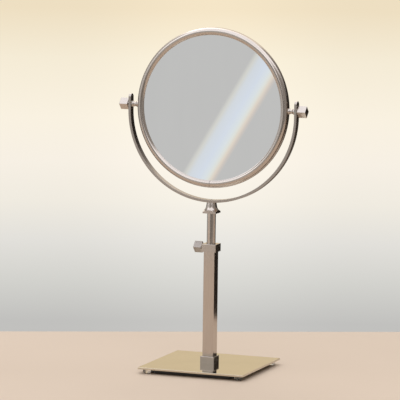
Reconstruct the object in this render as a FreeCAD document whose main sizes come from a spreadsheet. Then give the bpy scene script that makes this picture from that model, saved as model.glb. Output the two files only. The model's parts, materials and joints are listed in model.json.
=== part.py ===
import FreeCAD, Part

import math
import os
import re

import Sketcher
from FreeCAD import Placement, Rotation, Vector

# Extendable shaving mirror. A round two-sided mirror head tips between the ends of a U-shaped yoke.
# The yoke stands on a round rod that slides and turns in a square column on a square base.
# Millimetres. The origin is on the column's axis, on the surface that the feet stand on.
# +Z is up, the mirror faces -Y, and its pivots lie along X.

SIZES = (
    # alias, value, what it is
    # base
    ("plate_side", 127.0, "side of the square base plate"),
    ("plate_thick", 2.2, "thickness of the base plate"),
    ("plate_corner", 1.0, "radius of the plate's corners, seen from above"),
    ("plate_edge", 0.3, "chamfer round the plate's top face"),
    ("weight_side", 112.0, "side of the weight under the plate"),
    ("weight_thick", 4.0, "thickness of the weight"),
    ("weight_clip", 11.0, "length clipped off each side at the weight's corners"),
    ("foot_height", 5.0, "height of a foot"),
    ("foot_radius", 4.7, "radius of a foot"),
    ("foot_round", 1.0, "rounding under a foot"),
    ("foot_inset", 8.5, "foot's centre to the plate's edges"),
    ("screw_radius", 3.0, "radius of the base screw's thread"),
    ("screw_head", 5.6, "radius of the base screw's countersunk head"),
    ("screw_land", 0.3, "straight rim of a countersunk head"),
    ("screw_length", 17.0, "length of the base screw"),
    ("screw_slack", 0.2, "radial slack round the base screw in the plate"),
    ("pin_radius", 0.75, "radius of a locating pin"),
    ("pin_offset", 4.4, "locating pin to the column's axis, along X and along Y"),
    ("pin_sink", 1.0, "weight's lower face to the pin's foot"),
    ("pin_length", 10.0, "length of a locating pin"),
    # column
    ("socket_side", 17.0, "side of the square base socket"),
    ("socket_height", 8.2, "height of the base socket"),
    ("collar_side", 17.4, "side of the square clamp collar"),
    ("collar_height", 9.0, "height of the clamp collar"),
    ("collar_foot", 135.7, "height of the clamp collar's lower face"),
    ("collar_pocket", 2.3, "depth of the collar's pocket for the column"),
    ("collar_edge", 0.5, "chamfer round the top of the socket and the collar"),
    ("tube_side", 13.0, "outer side of the square column"),
    ("tube_wall", 0.8, "wall of the column"),
    ("plug_height", 14.0, "height of the threaded plug in the column's foot"),
    ("bush_length", 10.0, "length of the guide bush in the column's top"),
    # rod and slider
    ("rod_radius", 5.0, "radius of the mast rod"),
    ("rod_shoulder", 67.2, "height of the rod's lower shoulder"),
    ("rod_edge", 0.4, "chamfer at the rod's ends"),
    ("spigot_radius", 3.0, "radius of the rod's spigot in the slider"),
    ("spigot_length", 10.3, "length of the spigot"),
    ("slider_length", 10.0, "height of the slider"),
    ("slider_gap", 0.1, "slack between the slider and each wall of the column"),
    ("slider_edge", 0.6, "chamfer of the slider's upright corners"),
    ("end_play", 0.15, "play above and below the slider"),
    ("running_gap", 0.05, "radial gap of a running fit"),
    ("rod_gap", 0.3, "radial gap between the rod and the clamp collar"),
    ("washer_thick", 0.8, "thickness of the slider's washer"),
    ("washer_radius", 4.6, "radius of the slider's washer"),
    ("small_thread", 1.5, "radius of the slider screw's thread"),
    ("small_head", 2.8, "radius of the slider screw's head"),
    ("small_head_height", 2.2, "height of the slider screw's head"),
    ("small_length", 8.0, "length of the slider screw's thread"),
    # flared cap
    ("cap_foot", 179.8, "height of the flared cap's lower face"),
    ("cap_side", 16.0, "side of the cap's square foot"),
    ("cap_flange", 1.8, "height of the cap's full corners"),
    ("cap_waist", 6.2, "radius where the cap starts to flare"),
    ("cap_waist_height", 8.0, "height where the cap starts to flare"),
    ("cap_neck", 5.4, "radius of the cap's top"),
    ("cap_height", 13.0, "height of the cap before it's fitted to the yoke"),
    ("cap_sweep", 7.3, "radius of the cap's flare"),
    ("cap_seat", 6.0, "depth of the rod's seat in the cap"),
    ("cap_spare", 0.2, "how far the turned blank stands past the corners of the cap's foot"),
    # yoke
    ("yoke_radius", 101.5, "outer radius of the yoke's bend"),
    ("yoke_thick", 3.0, "thickness of the yoke's band"),
    ("yoke_width", 9.0, "width of the yoke's band"),
    ("yoke_centre", 293.5, "height of the bend's centre"),
    ("yoke_top", 311.9, "height of the arms' ends"),
    ("tip_radius", 4.45, "rounding of the arms' ends"),
    ("pivot_height", 300.0, "height of the mirror's pivots"),
    ("bolt_radius", 2.0, "radius of the yoke screw, the pivot studs and the clamp screw"),
    ("bolt_head", 3.75, "radius of the yoke screw's head"),
    ("bolt_length", 18.0, "length of the yoke screw"),
    ("cut_over", 1.0, "how far a cutting shape reaches past what it cuts"),
    # mirror head
    ("head_tilt", -1.5, "tilt of the mirror head, backwards when negative, in degrees"),
    ("rim_radius", 91.1, "outer radius of the mirror's rim"),
    ("rim_face", 9.6, "full width of the rim's oval section"),
    ("rim_depth", 14.0, "depth of the rim, front to back"),
    ("rim_wall", 1.0, "wall of the rolled rim"),
    ("rim_mouth", 8.0, "width of the channel's mouth, between its lips"),
    ("seam_gap", 0.2, "gap of the butt seam"),
    ("glass_radius", 84.5, "radius of both glasses"),
    ("glass_thick", 2.0, "thickness of both glasses"),
    ("glass_edge", 0.3, "chamfer of the front glass"),
    ("dish_rim", 82.6, "radius where the rear glass starts to dish"),
    ("dish_depth", 3.4, "depth of the rear glass's dish"),
    ("spacer_inner", 82.8, "inner radius of the spacer ring between the glasses"),
    ("joiner_radius", 89.2, "outer radius of the joiner strip in the rim"),
    ("joiner_thick", 1.2, "thickness of the joiner strip"),
    ("joiner_half", 9.5, "half the length of the joiner strip"),
    ("joiner_width", 6.0, "width of the joiner strip"),
    # pivots: distances along X from the mirror's centre
    ("stud_start", 86.6, "inner end of a pivot stud"),
    ("stud_end", 108.6, "outer end of a pivot stud"),
    ("stud_slack", 0.1, "radial slack round the studs in the rim"),
    ("nut_start", 86.4, "inner face of the nut in the rim"),
    ("nut_thick", 2.9, "thickness of the nut in the rim"),
    ("nut_side", 6.0, "side of the square nut in the rim"),
    ("spool_start", 89.8, "where a spool starts, before it's fitted to the rim"),
    ("spool_inner", 93.0, "end of a spool's inner flange"),
    ("spool_outer", 95.7, "start of a spool's outer flange"),
    ("spool_end", 97.7, "outer end of a spool"),
    ("spool_flange", 3.4, "radius of a spool's flanges"),
    ("spool_waist", 2.6, "radius of a spool's waist"),
    ("spool_round", 0.8, "length of the slope between flange and waist"),
    ("nylon_thick", 0.5, "thickness of a friction washer"),
    ("pivot_bush", 3.0, "outer radius of the bushes in the yoke"),
    ("loose_gap", 0.2, "gap on each side of a knob's washer"),
    ("disc_thick", 0.5, "thickness of a knob's washer"),
    ("disc_radius", 4.0, "radius of a knob's washer"),
    # knobs
    ("pivot_knob_start", 102.4, "inner end of a pivot knob, from the mirror's centre"),
    ("pivot_knob_length", 9.8, "length of a pivot knob"),
    ("pivot_knob_side", 9.6, "side of a pivot knob's square"),
    ("knob_edge", 0.35, "chamfer of the knobs' ends"),
    ("knob_spare", 0.4, "depth of a pivot knob's bore past its stud"),
    ("clamp_knob_start", 10.1, "inner end of the clamp knob, from the column's axis"),
    ("clamp_knob_length", 9.5, "length of the clamp knob"),
    ("clamp_knob_side", 9.5, "side of the clamp knob's square"),
    ("clamp_neck", 3.2, "radius of the clamp knob's neck"),
    ("clamp_neck_start", 9.0, "inner end of the neck, from the column's axis"),
    ("clamp_tip", 6.25, "tip of the clamp screw, from the column's axis"),
    ("clamp_screw_end", 16.0, "outer end of the clamp screw, in the knob"),
    ("pad_radius", 1.9, "radius of the nylon pad at the clamp screw's tip"),
    ("pad_start", 5.1, "face of the nylon pad, from the column's axis"),
    ("pad_thick", 1.1, "thickness of the nylon pad"),
)

PLATE_TOP = "foot_height + plate_thick"
CLAMP_HEIGHT = "collar_foot + collar_height / 2"
COLUMN_TOP = "collar_foot + collar_pocket"
TUBE_BORE = "tube_side - 2 * tube_wall"
HALF_DIAGONAL = "side / sqrt(2)"

doc = FreeCAD.newDocument("shaving_mirror")
sheet = doc.addObject("Spreadsheet::Sheet", "Dims")
for row, (alias, value, meaning) in enumerate(SIZES, start=1):
    sheet.set(f"A{row}", meaning)
    sheet.set(f"B{row}", str(value))
    sheet.setAlias(f"B{row}", alias)
doc.recompute()

ALIASES = {alias for alias, value, meaning in SIZES}
parts = []


# --- rules and placements -------------------------------------------------------------------------


def rule(text):
    """An expression for FreeCAD: each alias in the text gets the sheet's name before it."""
    return re.sub(r"[a-z_]+", lambda word: "Dims." * (word[0] in ALIASES) + word[0], str(text))


def size(text):
    """The value that a rule has now."""
    return float(sheet.evalExpression(rule(text)))


def finished(thing, label):
    """Names a finished sub-part and lists it for the checks and the export."""
    thing.Label = label
    parts.append(thing)
    return thing


def put(thing, x="0", y="0", z="0"):
    """Places a sub-part by rules, unturned."""
    for axis, text in zip("xyz", (x, y, z)):
        thing.setExpression(f"Placement.Base.{axis}", rule(text))


def head_placement():
    """The mirror head's own frame: its centre on the pivots' axis, tilted about that axis."""
    return Placement(Vector(0, 0, size("pivot_height")), Rotation(Vector(1, 0, 0), size("head_tilt")))


# Pieces of the mirror are modelled with their axis along local Z, which these turns lay down.
FACING_BACK = Placement(Vector(), Rotation(Vector(1, 0, 0), -90))
OUTWARD = {
    "left": Placement(Vector(), Rotation(Vector(0, 1, 0), -90)),
    "right": Placement(Vector(), Rotation(Vector(0, 1, 0), 90)),
}


# --- sketches and features ------------------------------------------------------------------------


def sketch_on(body, plane, lift="0"):
    """A new sketch on one of the body's own origin planes, lifted along the plane's normal."""
    sketch = body.newObject("Sketcher::SketchObject", body.Name + "_sketch")
    sketch.AttachmentSupport = [(next(p for p in body.Origin.OriginFeatures if p.Role == plane), "")]
    sketch.MapMode = "FlatFace"
    sketch.setExpression("AttachmentOffset.Base.z", rule(lift))
    return sketch


def fix(sketch, kind, *where, text):
    """Adds a dimension to a sketch and binds it to a rule."""
    index = sketch.addConstraint(Sketcher.Constraint(kind, *where, size(text)))
    sketch.renameConstraint(index, f"d{index}")
    sketch.setExpression(f"Constraints.d{index}", rule(text))


def fix_point(sketch, edge, end, x, y):
    fix(sketch, "DistanceX", -1, 1, edge, end, text=x)
    fix(sketch, "DistanceY", -1, 1, edge, end, text=y)


def circle(sketch, radius, x="0", y="0"):
    centre = Vector(size(x), size(y), 0)
    edge = sketch.addGeometry(Part.Circle(centre, Vector(0, 0, 1), size(radius)))
    fix_point(sketch, edge, 3, x, y)
    fix(sketch, "Radius", edge, text=radius)


def arc_between(start, end, radius, side):
    """The short arc from start to end. Its centre is on the left for side 1, on the right for -1."""
    chord = end - start
    rise = math.sqrt(max(radius**2 - (chord.Length / 2) ** 2, 0.0))
    left = Vector(-chord.y, chord.x, 0).normalize()
    centre = (start + end) * 0.5 + left * (rise * side)
    angles = [math.atan2(p.y - centre.y, p.x - centre.x) for p in (start, end)]
    return Part.ArcOfCircle(Part.Circle(centre, Vector(0, 0, 1), radius), *angles[::side])


def outline(sketch, corners, arcs=None):
    """A closed outline through corners, each a pair of rules.

    arcs maps a corner's index to (radius, side): the edge that leaves that corner is then an arc."""
    arcs = arcs or {}
    points = [Vector(size(x), size(y), 0) for x, y in corners]
    edges = []
    for i, (start, end) in enumerate(zip(points, points[1:] + points[:1])):
        if i in arcs:
            radius, side = arcs[i]
            edge = sketch.addGeometry(arc_between(start, end, size(radius), side))
            edges.append((edge, 1, 2) if side > 0 else (edge, 2, 1))
        else:
            edges.append((sketch.addGeometry(Part.LineSegment(start, end)), 1, 2))
    for (edge, first, last), (following, its_first, its_last) in zip(edges, edges[1:] + edges[:1]):
        sketch.addConstraint(Sketcher.Constraint("Coincident", edge, last, following, its_first))
    for i, (x, y) in enumerate(corners):
        fix_point(sketch, edges[i][0], edges[i][1], x, y)
    for i, (radius, side) in arcs.items():
        fix(sketch, "Radius", edges[i][0], text=radius)


def square(sketch, side, turned=False):
    """A square centred on the sketch's origin, or the same square turned to stand on a corner."""
    if turned:
        reach = HALF_DIAGONAL.replace("side", side)
        outline(sketch, [(reach, "0"), ("0", reach), (f"-{reach}", "0"), ("0", f"-{reach}")])
    else:
        reach = f"{side} / 2"
        low = f"-{reach}"
        outline(sketch, [(reach, reach), (low, reach), (low, low), (reach, low)])


def new_body(name):
    return doc.addObject("PartDesign::Body", name)


def pad(body, sketch, length, symmetric=False):
    feature = body.newObject("PartDesign::Pad", body.Name + "_pad")
    feature.Profile = sketch
    feature.SideType = "Symmetric" if symmetric else "One side"
    feature.setExpression("Length", rule(length))
    doc.recompute()
    return feature


def pocket(body, sketch, depth=None, upwards=False, symmetric=False):
    """Cuts a sketch out of the body, down its whole length when no depth is given."""
    before = body.Shape.Volume
    feature = body.newObject("PartDesign::Pocket", body.Name + "_pocket")
    feature.Profile = sketch
    feature.SideType = "Symmetric" if symmetric else "One side"
    feature.Reversed = upwards
    if depth:
        feature.setExpression("Length", rule(depth))
    else:
        feature.Type = "ThroughAll"
    doc.recompute()
    assert body.Shape.Volume < before, f"{feature.Name} cuts nothing"
    return feature


def revolve(body, kind, corners, arcs=None):
    """Revolves an outline (radius, height) about the body's Z axis, as a Revolution or a Groove."""
    before = body.Shape.Volume if body.Tip else 0.0
    sketch = sketch_on(body, "XZ_Plane")
    outline(sketch, corners, arcs)
    feature = body.newObject(f"PartDesign::{kind}", body.Name + "_turned")
    feature.Profile = sketch
    feature.ReferenceAxis = (sketch, ["V_Axis"])
    feature.Angle = 360
    doc.recompute()
    change = body.Shape.Volume - before
    assert change < 0 if kind == "Groove" else change > 0, f"{feature.Name} changes nothing"
    return feature


def turned(name, corners, arcs=None):
    """A body turned about its Z axis."""
    body = new_body(name)
    revolve(body, "Revolution", corners, arcs)
    return body


def tube(name, inner, outer, foot, head):
    """A plain round ring or sleeve, a washer or a bush."""
    return turned(name, [(inner, foot), (outer, foot), (outer, head), (inner, head)])


def dress(body, kind, edges, amount):
    """Chamfers or fillets the edges of the body's tip that pass the test."""
    base = body.Tip
    names = [f"Edge{i}" for i, edge in enumerate(base.Shape.Edges, start=1) if edges(edge)]
    assert names, f"no edge of {body.Name} to dress"
    feature = body.newObject(f"PartDesign::{kind}", f"{body.Name}_{kind.lower()}")
    feature.Base = (base, names)
    feature.setExpression("Size" if kind == "Chamfer" else "Radius", rule(amount))
    doc.recompute()
    return feature


def in_plane(height):
    """Picks straight edges that lie flat at a height."""
    level = size(height)
    return lambda edge: edge.Curve.TypeId == "Part::GeomLine" and all(
        abs(vertex.Z - level) < 1e-6 for vertex in edge.Vertexes
    )


def upright(edge):
    ends = edge.Vertexes
    return len(ends) == 2 and abs(ends[0].Z - ends[1].Z) > 1e-6 and ends[0].Point.distanceToLine(
        ends[1].Point, Vector(0, 0, 1)
    ) < 1e-6


def hex_socket(body, across, depth):
    """A hexagon socket, cut up from the body's origin."""
    sketch = sketch_on(body, "XY_Plane")
    reach = f"{across} / sqrt(3)"
    half = f"{across} / (2 * sqrt(3))"
    flat = f"{across} / 2"
    outline(sketch, [(reach, "0"), (half, flat), (f"-{half}", flat), (f"-{reach}", "0"),
                     (f"-{half}", f"-{flat}"), (half, f"-{flat}")])
    pocket(body, sketch, depth, upwards=True)


# --- base -----------------------------------------------------------------------------------------


def pin_holes(body, depth=None, upwards=True):
    sketch = sketch_on(body, "XY_Plane")
    for sign in ("", "-"):
        circle(sketch, "pin_radius", f"{sign}pin_offset", f"{sign}pin_offset")
    pocket(body, sketch, depth, upwards)


def base_plate():
    body = new_body("base_plate")
    sketch = sketch_on(body, "XY_Plane")
    square(sketch, "plate_side")
    pad(body, sketch, "plate_thick")
    dress(body, "Fillet", upright, "plate_corner")
    dress(body, "Chamfer", lambda edge: all(abs(v.Z - size("plate_thick")) < 1e-6 for v in edge.Vertexes),
          "plate_edge")
    sketch = sketch_on(body, "XY_Plane")
    circle(sketch, "screw_radius + screw_slack")
    pocket(body, sketch, upwards=True)
    pin_holes(body)
    put(body, z="foot_height")
    finished(body, "base_plate")


def base_weight():
    """A steel slab with clipped corners that leave room for the feet."""
    body = new_body("base_weight")
    side = "weight_side / 2"
    short = "(weight_side / 2 - weight_clip)"
    quarter = [(side, short), (short, side)]
    corners = quarter + [(f"-{x}", y) for x, y in quarter[::-1]]
    corners += [(f"-{x}", f"-{y}") for x, y in quarter] + [(x, f"-{y}") for x, y in quarter[::-1]]
    sketch = sketch_on(body, "XY_Plane")
    outline(sketch, corners)
    pad(body, sketch, "weight_thick")
    cone_end = "screw_land + screw_head - screw_radius"
    revolve(body, "Groove", [("0", "0"), ("screw_head", "0"), ("screw_head", "screw_land"),
                             ("screw_radius", cone_end), ("screw_radius", "weight_thick"),
                             ("0", "weight_thick")])
    pin_holes(body)
    put(body, z="foot_height - weight_thick")
    finished(body, "base_weight")


def base_screw():
    cone_end = "screw_land + screw_head - screw_radius"
    body = turned("base_screw", [("0", "0"), ("screw_head", "0"), ("screw_head", "screw_land"),
                                 ("screw_radius", cone_end), ("screw_radius", "screw_length"),
                                 ("0", "screw_length")])
    hex_socket(body, "screw_radius * 4 / 3", "screw_radius * 2 / 3")
    put(body, z="foot_height - weight_thick")
    finished(body, "base_screw")


def locating_pins():
    pins = []
    for sign in ("", "-"):
        pin = doc.addObject("Part::Cylinder", "locating_pin")
        pin.setExpression("Radius", rule("pin_radius"))
        pin.setExpression("Height", rule("pin_length"))
        put(pin, f"{sign}pin_offset", f"{sign}pin_offset", "foot_height - weight_thick + pin_sink")
        pins.append(pin)
    group = doc.addObject("Part::Compound", "locating_pins")
    group.Links = pins
    finished(group, "locating_pins")


def feet():
    reach = "(plate_side / 2 - foot_inset)"
    flat = "foot_radius - foot_round"
    for depth, y in (("front", f"-{reach}"), ("back", reach)):
        for hand, x in (("left", f"-{reach}"), ("right", reach)):
            body = turned(f"foot_{depth}_{hand}", [("0", "0"), (flat, "0"), ("foot_radius", "foot_round"),
                                                   ("foot_radius", "foot_height"), ("0", "foot_height")],
                          {1: ("foot_round", 1)})
            put(body, x, y)
            finished(body, body.Name)


# --- column ---------------------------------------------------------------------------------------


def square_sleeve(name, outer, inner, length):
    body = new_body(name)
    sketch = sketch_on(body, "XY_Plane")
    square(sketch, outer)
    square(sketch, inner)
    pad(body, sketch, length)
    return body


def base_socket():
    body = square_sleeve("base_socket", "socket_side", "tube_side", "socket_height")
    reach = size("socket_side / 2")
    flat_top = in_plane("socket_height")
    dress(body, "Chamfer", lambda edge: flat_top(edge) and max(
        abs(edge.CenterOfMass.x), abs(edge.CenterOfMass.y)) > reach - 0.01, "collar_edge")
    put(body, z=PLATE_TOP)
    finished(body, "base_socket")


def column_tube():
    body = square_sleeve("column_tube", "tube_side", f"({TUBE_BORE})", f"{COLUMN_TOP} - ({PLATE_TOP})")
    put(body, z=PLATE_TOP)
    finished(body, "column_tube")


def column_plug():
    body = new_body("column_plug")
    sketch = sketch_on(body, "XY_Plane")
    square(sketch, f"({TUBE_BORE})")
    pad(body, sketch, "plug_height")
    sketch = sketch_on(body, "XY_Plane")
    circle(sketch, "screw_radius")
    pocket(body, sketch, upwards=True)
    pin_holes(body, "pin_length + pin_sink - weight_thick - plate_thick")
    put(body, z=PLATE_TOP)
    finished(body, "column_plug")


def guide_bush():
    body = new_body("guide_bush")
    sketch = sketch_on(body, "XY_Plane")
    square(sketch, f"({TUBE_BORE})")
    circle(sketch, "rod_radius + running_gap")
    pad(body, sketch, "bush_length")
    put(body, z=f"{COLUMN_TOP} - bush_length")
    finished(body, "guide_bush")


def clamp_collar():
    body = new_body("clamp_collar")
    sketch = sketch_on(body, "XY_Plane")
    square(sketch, "collar_side")
    circle(sketch, "rod_radius + rod_gap")
    pad(body, sketch, "collar_height")
    dress(body, "Chamfer", in_plane("collar_height"), "collar_edge")
    sketch = sketch_on(body, "XY_Plane")
    square(sketch, "tube_side")
    pocket(body, sketch, "collar_pocket", upwards=True)
    sketch = sketch_on(body, "YZ_Plane")
    circle(sketch, "bolt_radius + running_gap", y="collar_height / 2")
    pocket(body, sketch, "collar_side / 2")
    put(body, z="collar_foot")
    finished(body, "clamp_collar")


def square_knob(name, side, start, length, bore, bore_start, bore_end, neck=None):
    """A square bar on its corner along local Z, with a blind bore from its inner end."""
    body = new_body(name)
    sketch = sketch_on(body, "XY_Plane", start)
    square(sketch, side, turned=True)
    pad(body, sketch, length)
    inner_end, outer_end = in_plane(start), in_plane(f"{start} + {length}")
    dress(body, "Chamfer", lambda edge: inner_end(edge) or outer_end(edge), "knob_edge")
    if neck:
        sketch = sketch_on(body, "XY_Plane", bore_start)
        circle(sketch, neck)
        pad(body, sketch, f"{start} - {bore_start}")
    revolve(body, "Groove", [("0", bore_start), (bore, bore_start), (bore, bore_end), ("0", bore_end)])
    return body


def clamp():
    knob = square_knob("clamp_knob", "clamp_knob_side", "clamp_knob_start", "clamp_knob_length",
                       "bolt_radius", "clamp_neck_start", "clamp_screw_end", neck="clamp_neck")
    screw = turned("clamp_screw", [("0", "clamp_tip"), ("bolt_radius - rod_edge", "clamp_tip"),
                                   ("bolt_radius", "clamp_tip + rod_edge"),
                                   ("bolt_radius", "clamp_screw_end"), ("0", "clamp_screw_end")])
    nylon = turned("clamp_pad", [("0", "pad_start"), ("pad_radius", "pad_start"),
                                 ("pad_radius", "pad_start + pad_thick"), ("0", "pad_start + pad_thick")])
    for body in (knob, screw, nylon):
        body.Placement = Placement(Vector(0, 0, size(CLAMP_HEIGHT)), OUTWARD["left"].Rotation)
        finished(body, body.Name)


# --- rod and slider -------------------------------------------------------------------------------


def guide_slider():
    body = new_body("guide_slider")
    sketch = sketch_on(body, "XY_Plane")
    square(sketch, f"({TUBE_BORE} - 2 * slider_gap)")
    pad(body, sketch, "slider_length")
    dress(body, "Chamfer", upright, "slider_edge")
    sketch = sketch_on(body, "XY_Plane")
    circle(sketch, "spigot_radius + running_gap")
    pocket(body, sketch, upwards=True)
    put(body, z="rod_shoulder - end_play - slider_length")
    finished(body, "guide_slider")


def mast_rod():
    top = "(cap_foot + cap_seat - rod_shoulder)"
    foot = "-spigot_length"
    thread_top = "yoke_centre - yoke_radius + yoke_thick - bolt_length - rod_shoulder"
    body = turned("mast_rod", [
        ("small_thread", foot), ("spigot_radius", foot), ("spigot_radius", "0"),
        ("rod_radius - rod_edge", "0"), ("rod_radius", "rod_edge"),
        ("rod_radius", f"{top} - rod_edge"), ("rod_radius - rod_edge", top),
        ("bolt_radius", top), ("bolt_radius", thread_top), ("0", thread_top),
        ("0", f"{foot} + small_length"), ("small_thread", f"{foot} + small_length"),
    ])
    put(body, z="rod_shoulder")
    finished(body, "mast_rod")


def slider_fastening():
    """The washer and the screw that hold the slider on the rod's spigot."""
    spigot_end = "rod_shoulder - spigot_length"
    washer = tube("slider_washer", "small_thread", "washer_radius", "-washer_thick", "0")
    screw = turned("slider_screw", [
        ("0", "-washer_thick - small_head_height"), ("small_head", "-washer_thick - small_head_height"),
        ("small_head", "-washer_thick"), ("small_thread", "-washer_thick"),
        ("small_thread", "small_length"), ("0", "small_length"),
    ])
    sketch = sketch_on(screw, "XY_Plane", "-washer_thick - small_head_height")
    circle(sketch, "small_head / 2")
    pocket(screw, sketch, "small_head_height / 2", upwards=True)
    for body in (washer, screw):
        put(body, z=spigot_end)
        finished(body, body.Name)


def flared_cap():
    """A turned trumpet, cut square at its foot and hollowed at its top to fit the yoke."""
    foot = "cap_side / sqrt(2) + cap_spare"
    body = turned("flared_cap", [
        ("rod_radius", "0"), (foot, "0"), (foot, "cap_flange"),
        ("cap_waist", "cap_waist_height"), ("cap_neck", "cap_height"), ("bolt_radius", "cap_height"),
        ("bolt_radius", "cap_seat"), ("rod_radius", "cap_seat"),
    ], {2: ("cap_sweep", -1)})
    sketch = sketch_on(body, "XY_Plane")
    square(sketch, "cap_side")
    square(sketch, "(cap_side * 2)")
    pocket(body, sketch, upwards=True)
    sketch = sketch_on(body, "XZ_Plane")
    circle(sketch, "yoke_radius", y="yoke_centre - cap_foot")
    pocket(body, sketch, symmetric=True)
    put(body, z="cap_foot")
    finished(body, "flared_cap")


# --- yoke -----------------------------------------------------------------------------------------


def yoke():
    body = new_body("yoke")
    outer, inner, top = "yoke_radius", "(yoke_radius - yoke_thick)", "(yoke_top - yoke_centre)"
    sketch = sketch_on(body, "XZ_Plane")
    outline(sketch, [
        (f"-{outer}", top), (f"-{outer}", "0"), ("0", f"-{outer}"), (outer, "0"), (outer, top),
        (inner, top), (inner, "0"), ("0", f"-{inner}"), (f"-{inner}", "0"), (f"-{inner}", top),
    ], {1: (outer, 1), 2: (outer, 1), 6: (inner, -1), 7: (inner, -1)})
    pad(body, sketch, "yoke_width", symmetric=True)
    level, half_width = size(top), size("yoke_width / 2")
    dress(body, "Fillet", lambda edge: all(
        abs(v.Z - level) < 1e-6 and abs(abs(v.Y) - half_width) < 1e-6 for v in edge.Vertexes)
        and abs(edge.Vertexes[0].Y - edge.Vertexes[1].Y) < 1e-6, "tip_radius")
    sketch = sketch_on(body, "YZ_Plane")
    circle(sketch, "pivot_bush", y="pivot_height - yoke_centre")
    pocket(body, sketch, symmetric=True)
    cone_end = f"-{inner} - screw_land - bolt_head + bolt_radius"
    revolve(body, "Groove", [
        ("0", f"-{inner} + cut_over"), ("bolt_head", f"-{inner} + cut_over"),
        ("bolt_head", f"-{inner} - screw_land"),
        ("bolt_radius", cone_end), ("bolt_radius", f"-{outer} - cut_over"), ("0", f"-{outer} - cut_over"),
    ])
    put(body, z="yoke_centre")
    finished(body, "yoke")


def yoke_screw():
    """Countersunk flush in the yoke, down through the flared cap into the rod."""
    cone_end = "-screw_land - bolt_head + bolt_radius"
    body = turned("yoke_screw", [
        ("0", "-bolt_length"), ("bolt_radius", "-bolt_length"), ("bolt_radius", cone_end),
        ("bolt_head", "-screw_land"), ("bolt_head", "0"), ("0", "0"),
    ])
    sketch = sketch_on(body, "XY_Plane")
    circle(sketch, "bolt_radius * 0.6")
    pocket(body, sketch, "bolt_radius * 0.6")
    put(body, z="yoke_centre - yoke_radius + yoke_thick")
    finished(body, "yoke_screw")


# --- mirror head ----------------------------------------------------------------------------------


def oval_ring(name, inset):
    """The rim's oval section, shrunk by inset all round, revolved about the head's Y axis."""
    section = doc.addObject("Part::Ellipse", name + "_section")
    section.setExpression("MajorRadius", rule(f"rim_depth / 2 - {inset}"))
    section.setExpression("MinorRadius", rule(f"rim_face / 2 - {inset}"))
    section.Placement = Placement(Vector(), Rotation(Vector(0, 0, 1), 90))
    section.setExpression("Placement.Base.x", rule("rim_radius - rim_face / 2"))
    ring = doc.addObject("Part::Revolution", name)
    ring.Source = section
    ring.Axis = Vector(0, 1, 0)
    ring.Angle = 360
    ring.Solid = True
    return ring


def drum(name, radius, length):
    """A cylinder about the head's Y axis, centred on the head's middle plane."""
    cylinder = doc.addObject("Part::Cylinder", name)
    cylinder.setExpression("Radius", rule(radius))
    cylinder.setExpression("Height", rule(length))
    cylinder.Placement = FACING_BACK
    cylinder.setExpression("Placement.Base.y", rule(f"-({length}) / 2"))
    return cylinder


def cut(name, base, tool):
    result = doc.addObject("Part::Cut", name)
    result.Base = base
    result.Tool = tool
    doc.recompute()
    return result


def mirror_rim(envelope):
    """A rolled channel, its mouth inwards, closed by a butt seam at the bottom."""
    shell = cut("rim_shell", envelope, oval_ring("rim_hollow", "rim_wall"))
    mouth = drum("rim_mouth_cut", "rim_radius - rim_face / 2", "rim_mouth")
    seam = doc.addObject("Part::Box", "seam_cut")
    for side, text in (("Length", "seam_gap"), ("Width", "rim_depth + 2 * cut_over"),
                       ("Height", "rim_face + 2 * cut_over")):
        seam.setExpression(side, rule(text))
    put(seam, "-seam_gap / 2", "-rim_depth / 2 - cut_over", "-rim_radius - cut_over")
    studs = doc.addObject("Part::Cylinder", "stud_holes_cut")
    studs.setExpression("Radius", rule("bolt_radius + stud_slack"))
    studs.setExpression("Height", rule("2 * (rim_radius + cut_over)"))
    studs.Placement = OUTWARD["right"]
    studs.setExpression("Placement.Base.x", rule("-rim_radius - cut_over"))
    cuts = doc.addObject("Part::MultiFuse", "rim_cuts")
    cuts.Shapes = [mouth, seam, studs]
    rim = cut("mirror_rim", shell, cuts)
    rim.Placement = head_placement()
    finished(rim, "mirror_rim")


def rim_joiner():
    """A curved strip inside the channel that bridges the seam."""
    body = new_body("rim_joiner")
    outer, inner, half = "joiner_radius", "(joiner_radius - joiner_thick)", "joiner_half"
    outer_level = f"-sqrt({outer}^2 - {half}^2)"
    inner_level = f"-sqrt({inner}^2 - {half}^2)"
    sketch = sketch_on(body, "XZ_Plane")
    outline(sketch, [(f"-{half}", outer_level), (half, outer_level), (half, inner_level),
                     (f"-{half}", inner_level)], {0: (outer, 1), 2: (inner, -1)})
    pad(body, sketch, "joiner_width", symmetric=True)
    body.Placement = head_placement()
    finished(body, "rim_joiner")


def glasses():
    front = "-rim_mouth / 2"
    back = f"{front} + glass_thick"
    bevel = "glass_radius - glass_edge"
    flat = turned("front_glass", [("0", front), (bevel, front), ("glass_radius", f"{front} + glass_edge"),
                                  ("glass_radius", f"{back} - glass_edge"), (bevel, back), ("0", back)])
    outer, inner = "rim_mouth / 2", "rim_mouth / 2 - glass_thick"
    sweep = "(dish_rim^2 + dish_depth^2) / (2 * dish_depth)"
    dished = turned("magnifying_glass", [
        ("0", f"{inner} - dish_depth"), ("dish_rim", inner), ("glass_radius", inner),
        ("glass_radius", outer), ("dish_rim", outer), ("0", f"{outer} - dish_depth"),
    ], {0: (sweep, 1), 4: (sweep, -1)})
    ring = tube("glass_spacer", "spacer_inner", "glass_radius", back, inner)
    for body in (flat, dished, ring):
        body.Placement = head_placement() * FACING_BACK
        finished(body, body.Name)


# --- pivots ---------------------------------------------------------------------------------------


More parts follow.
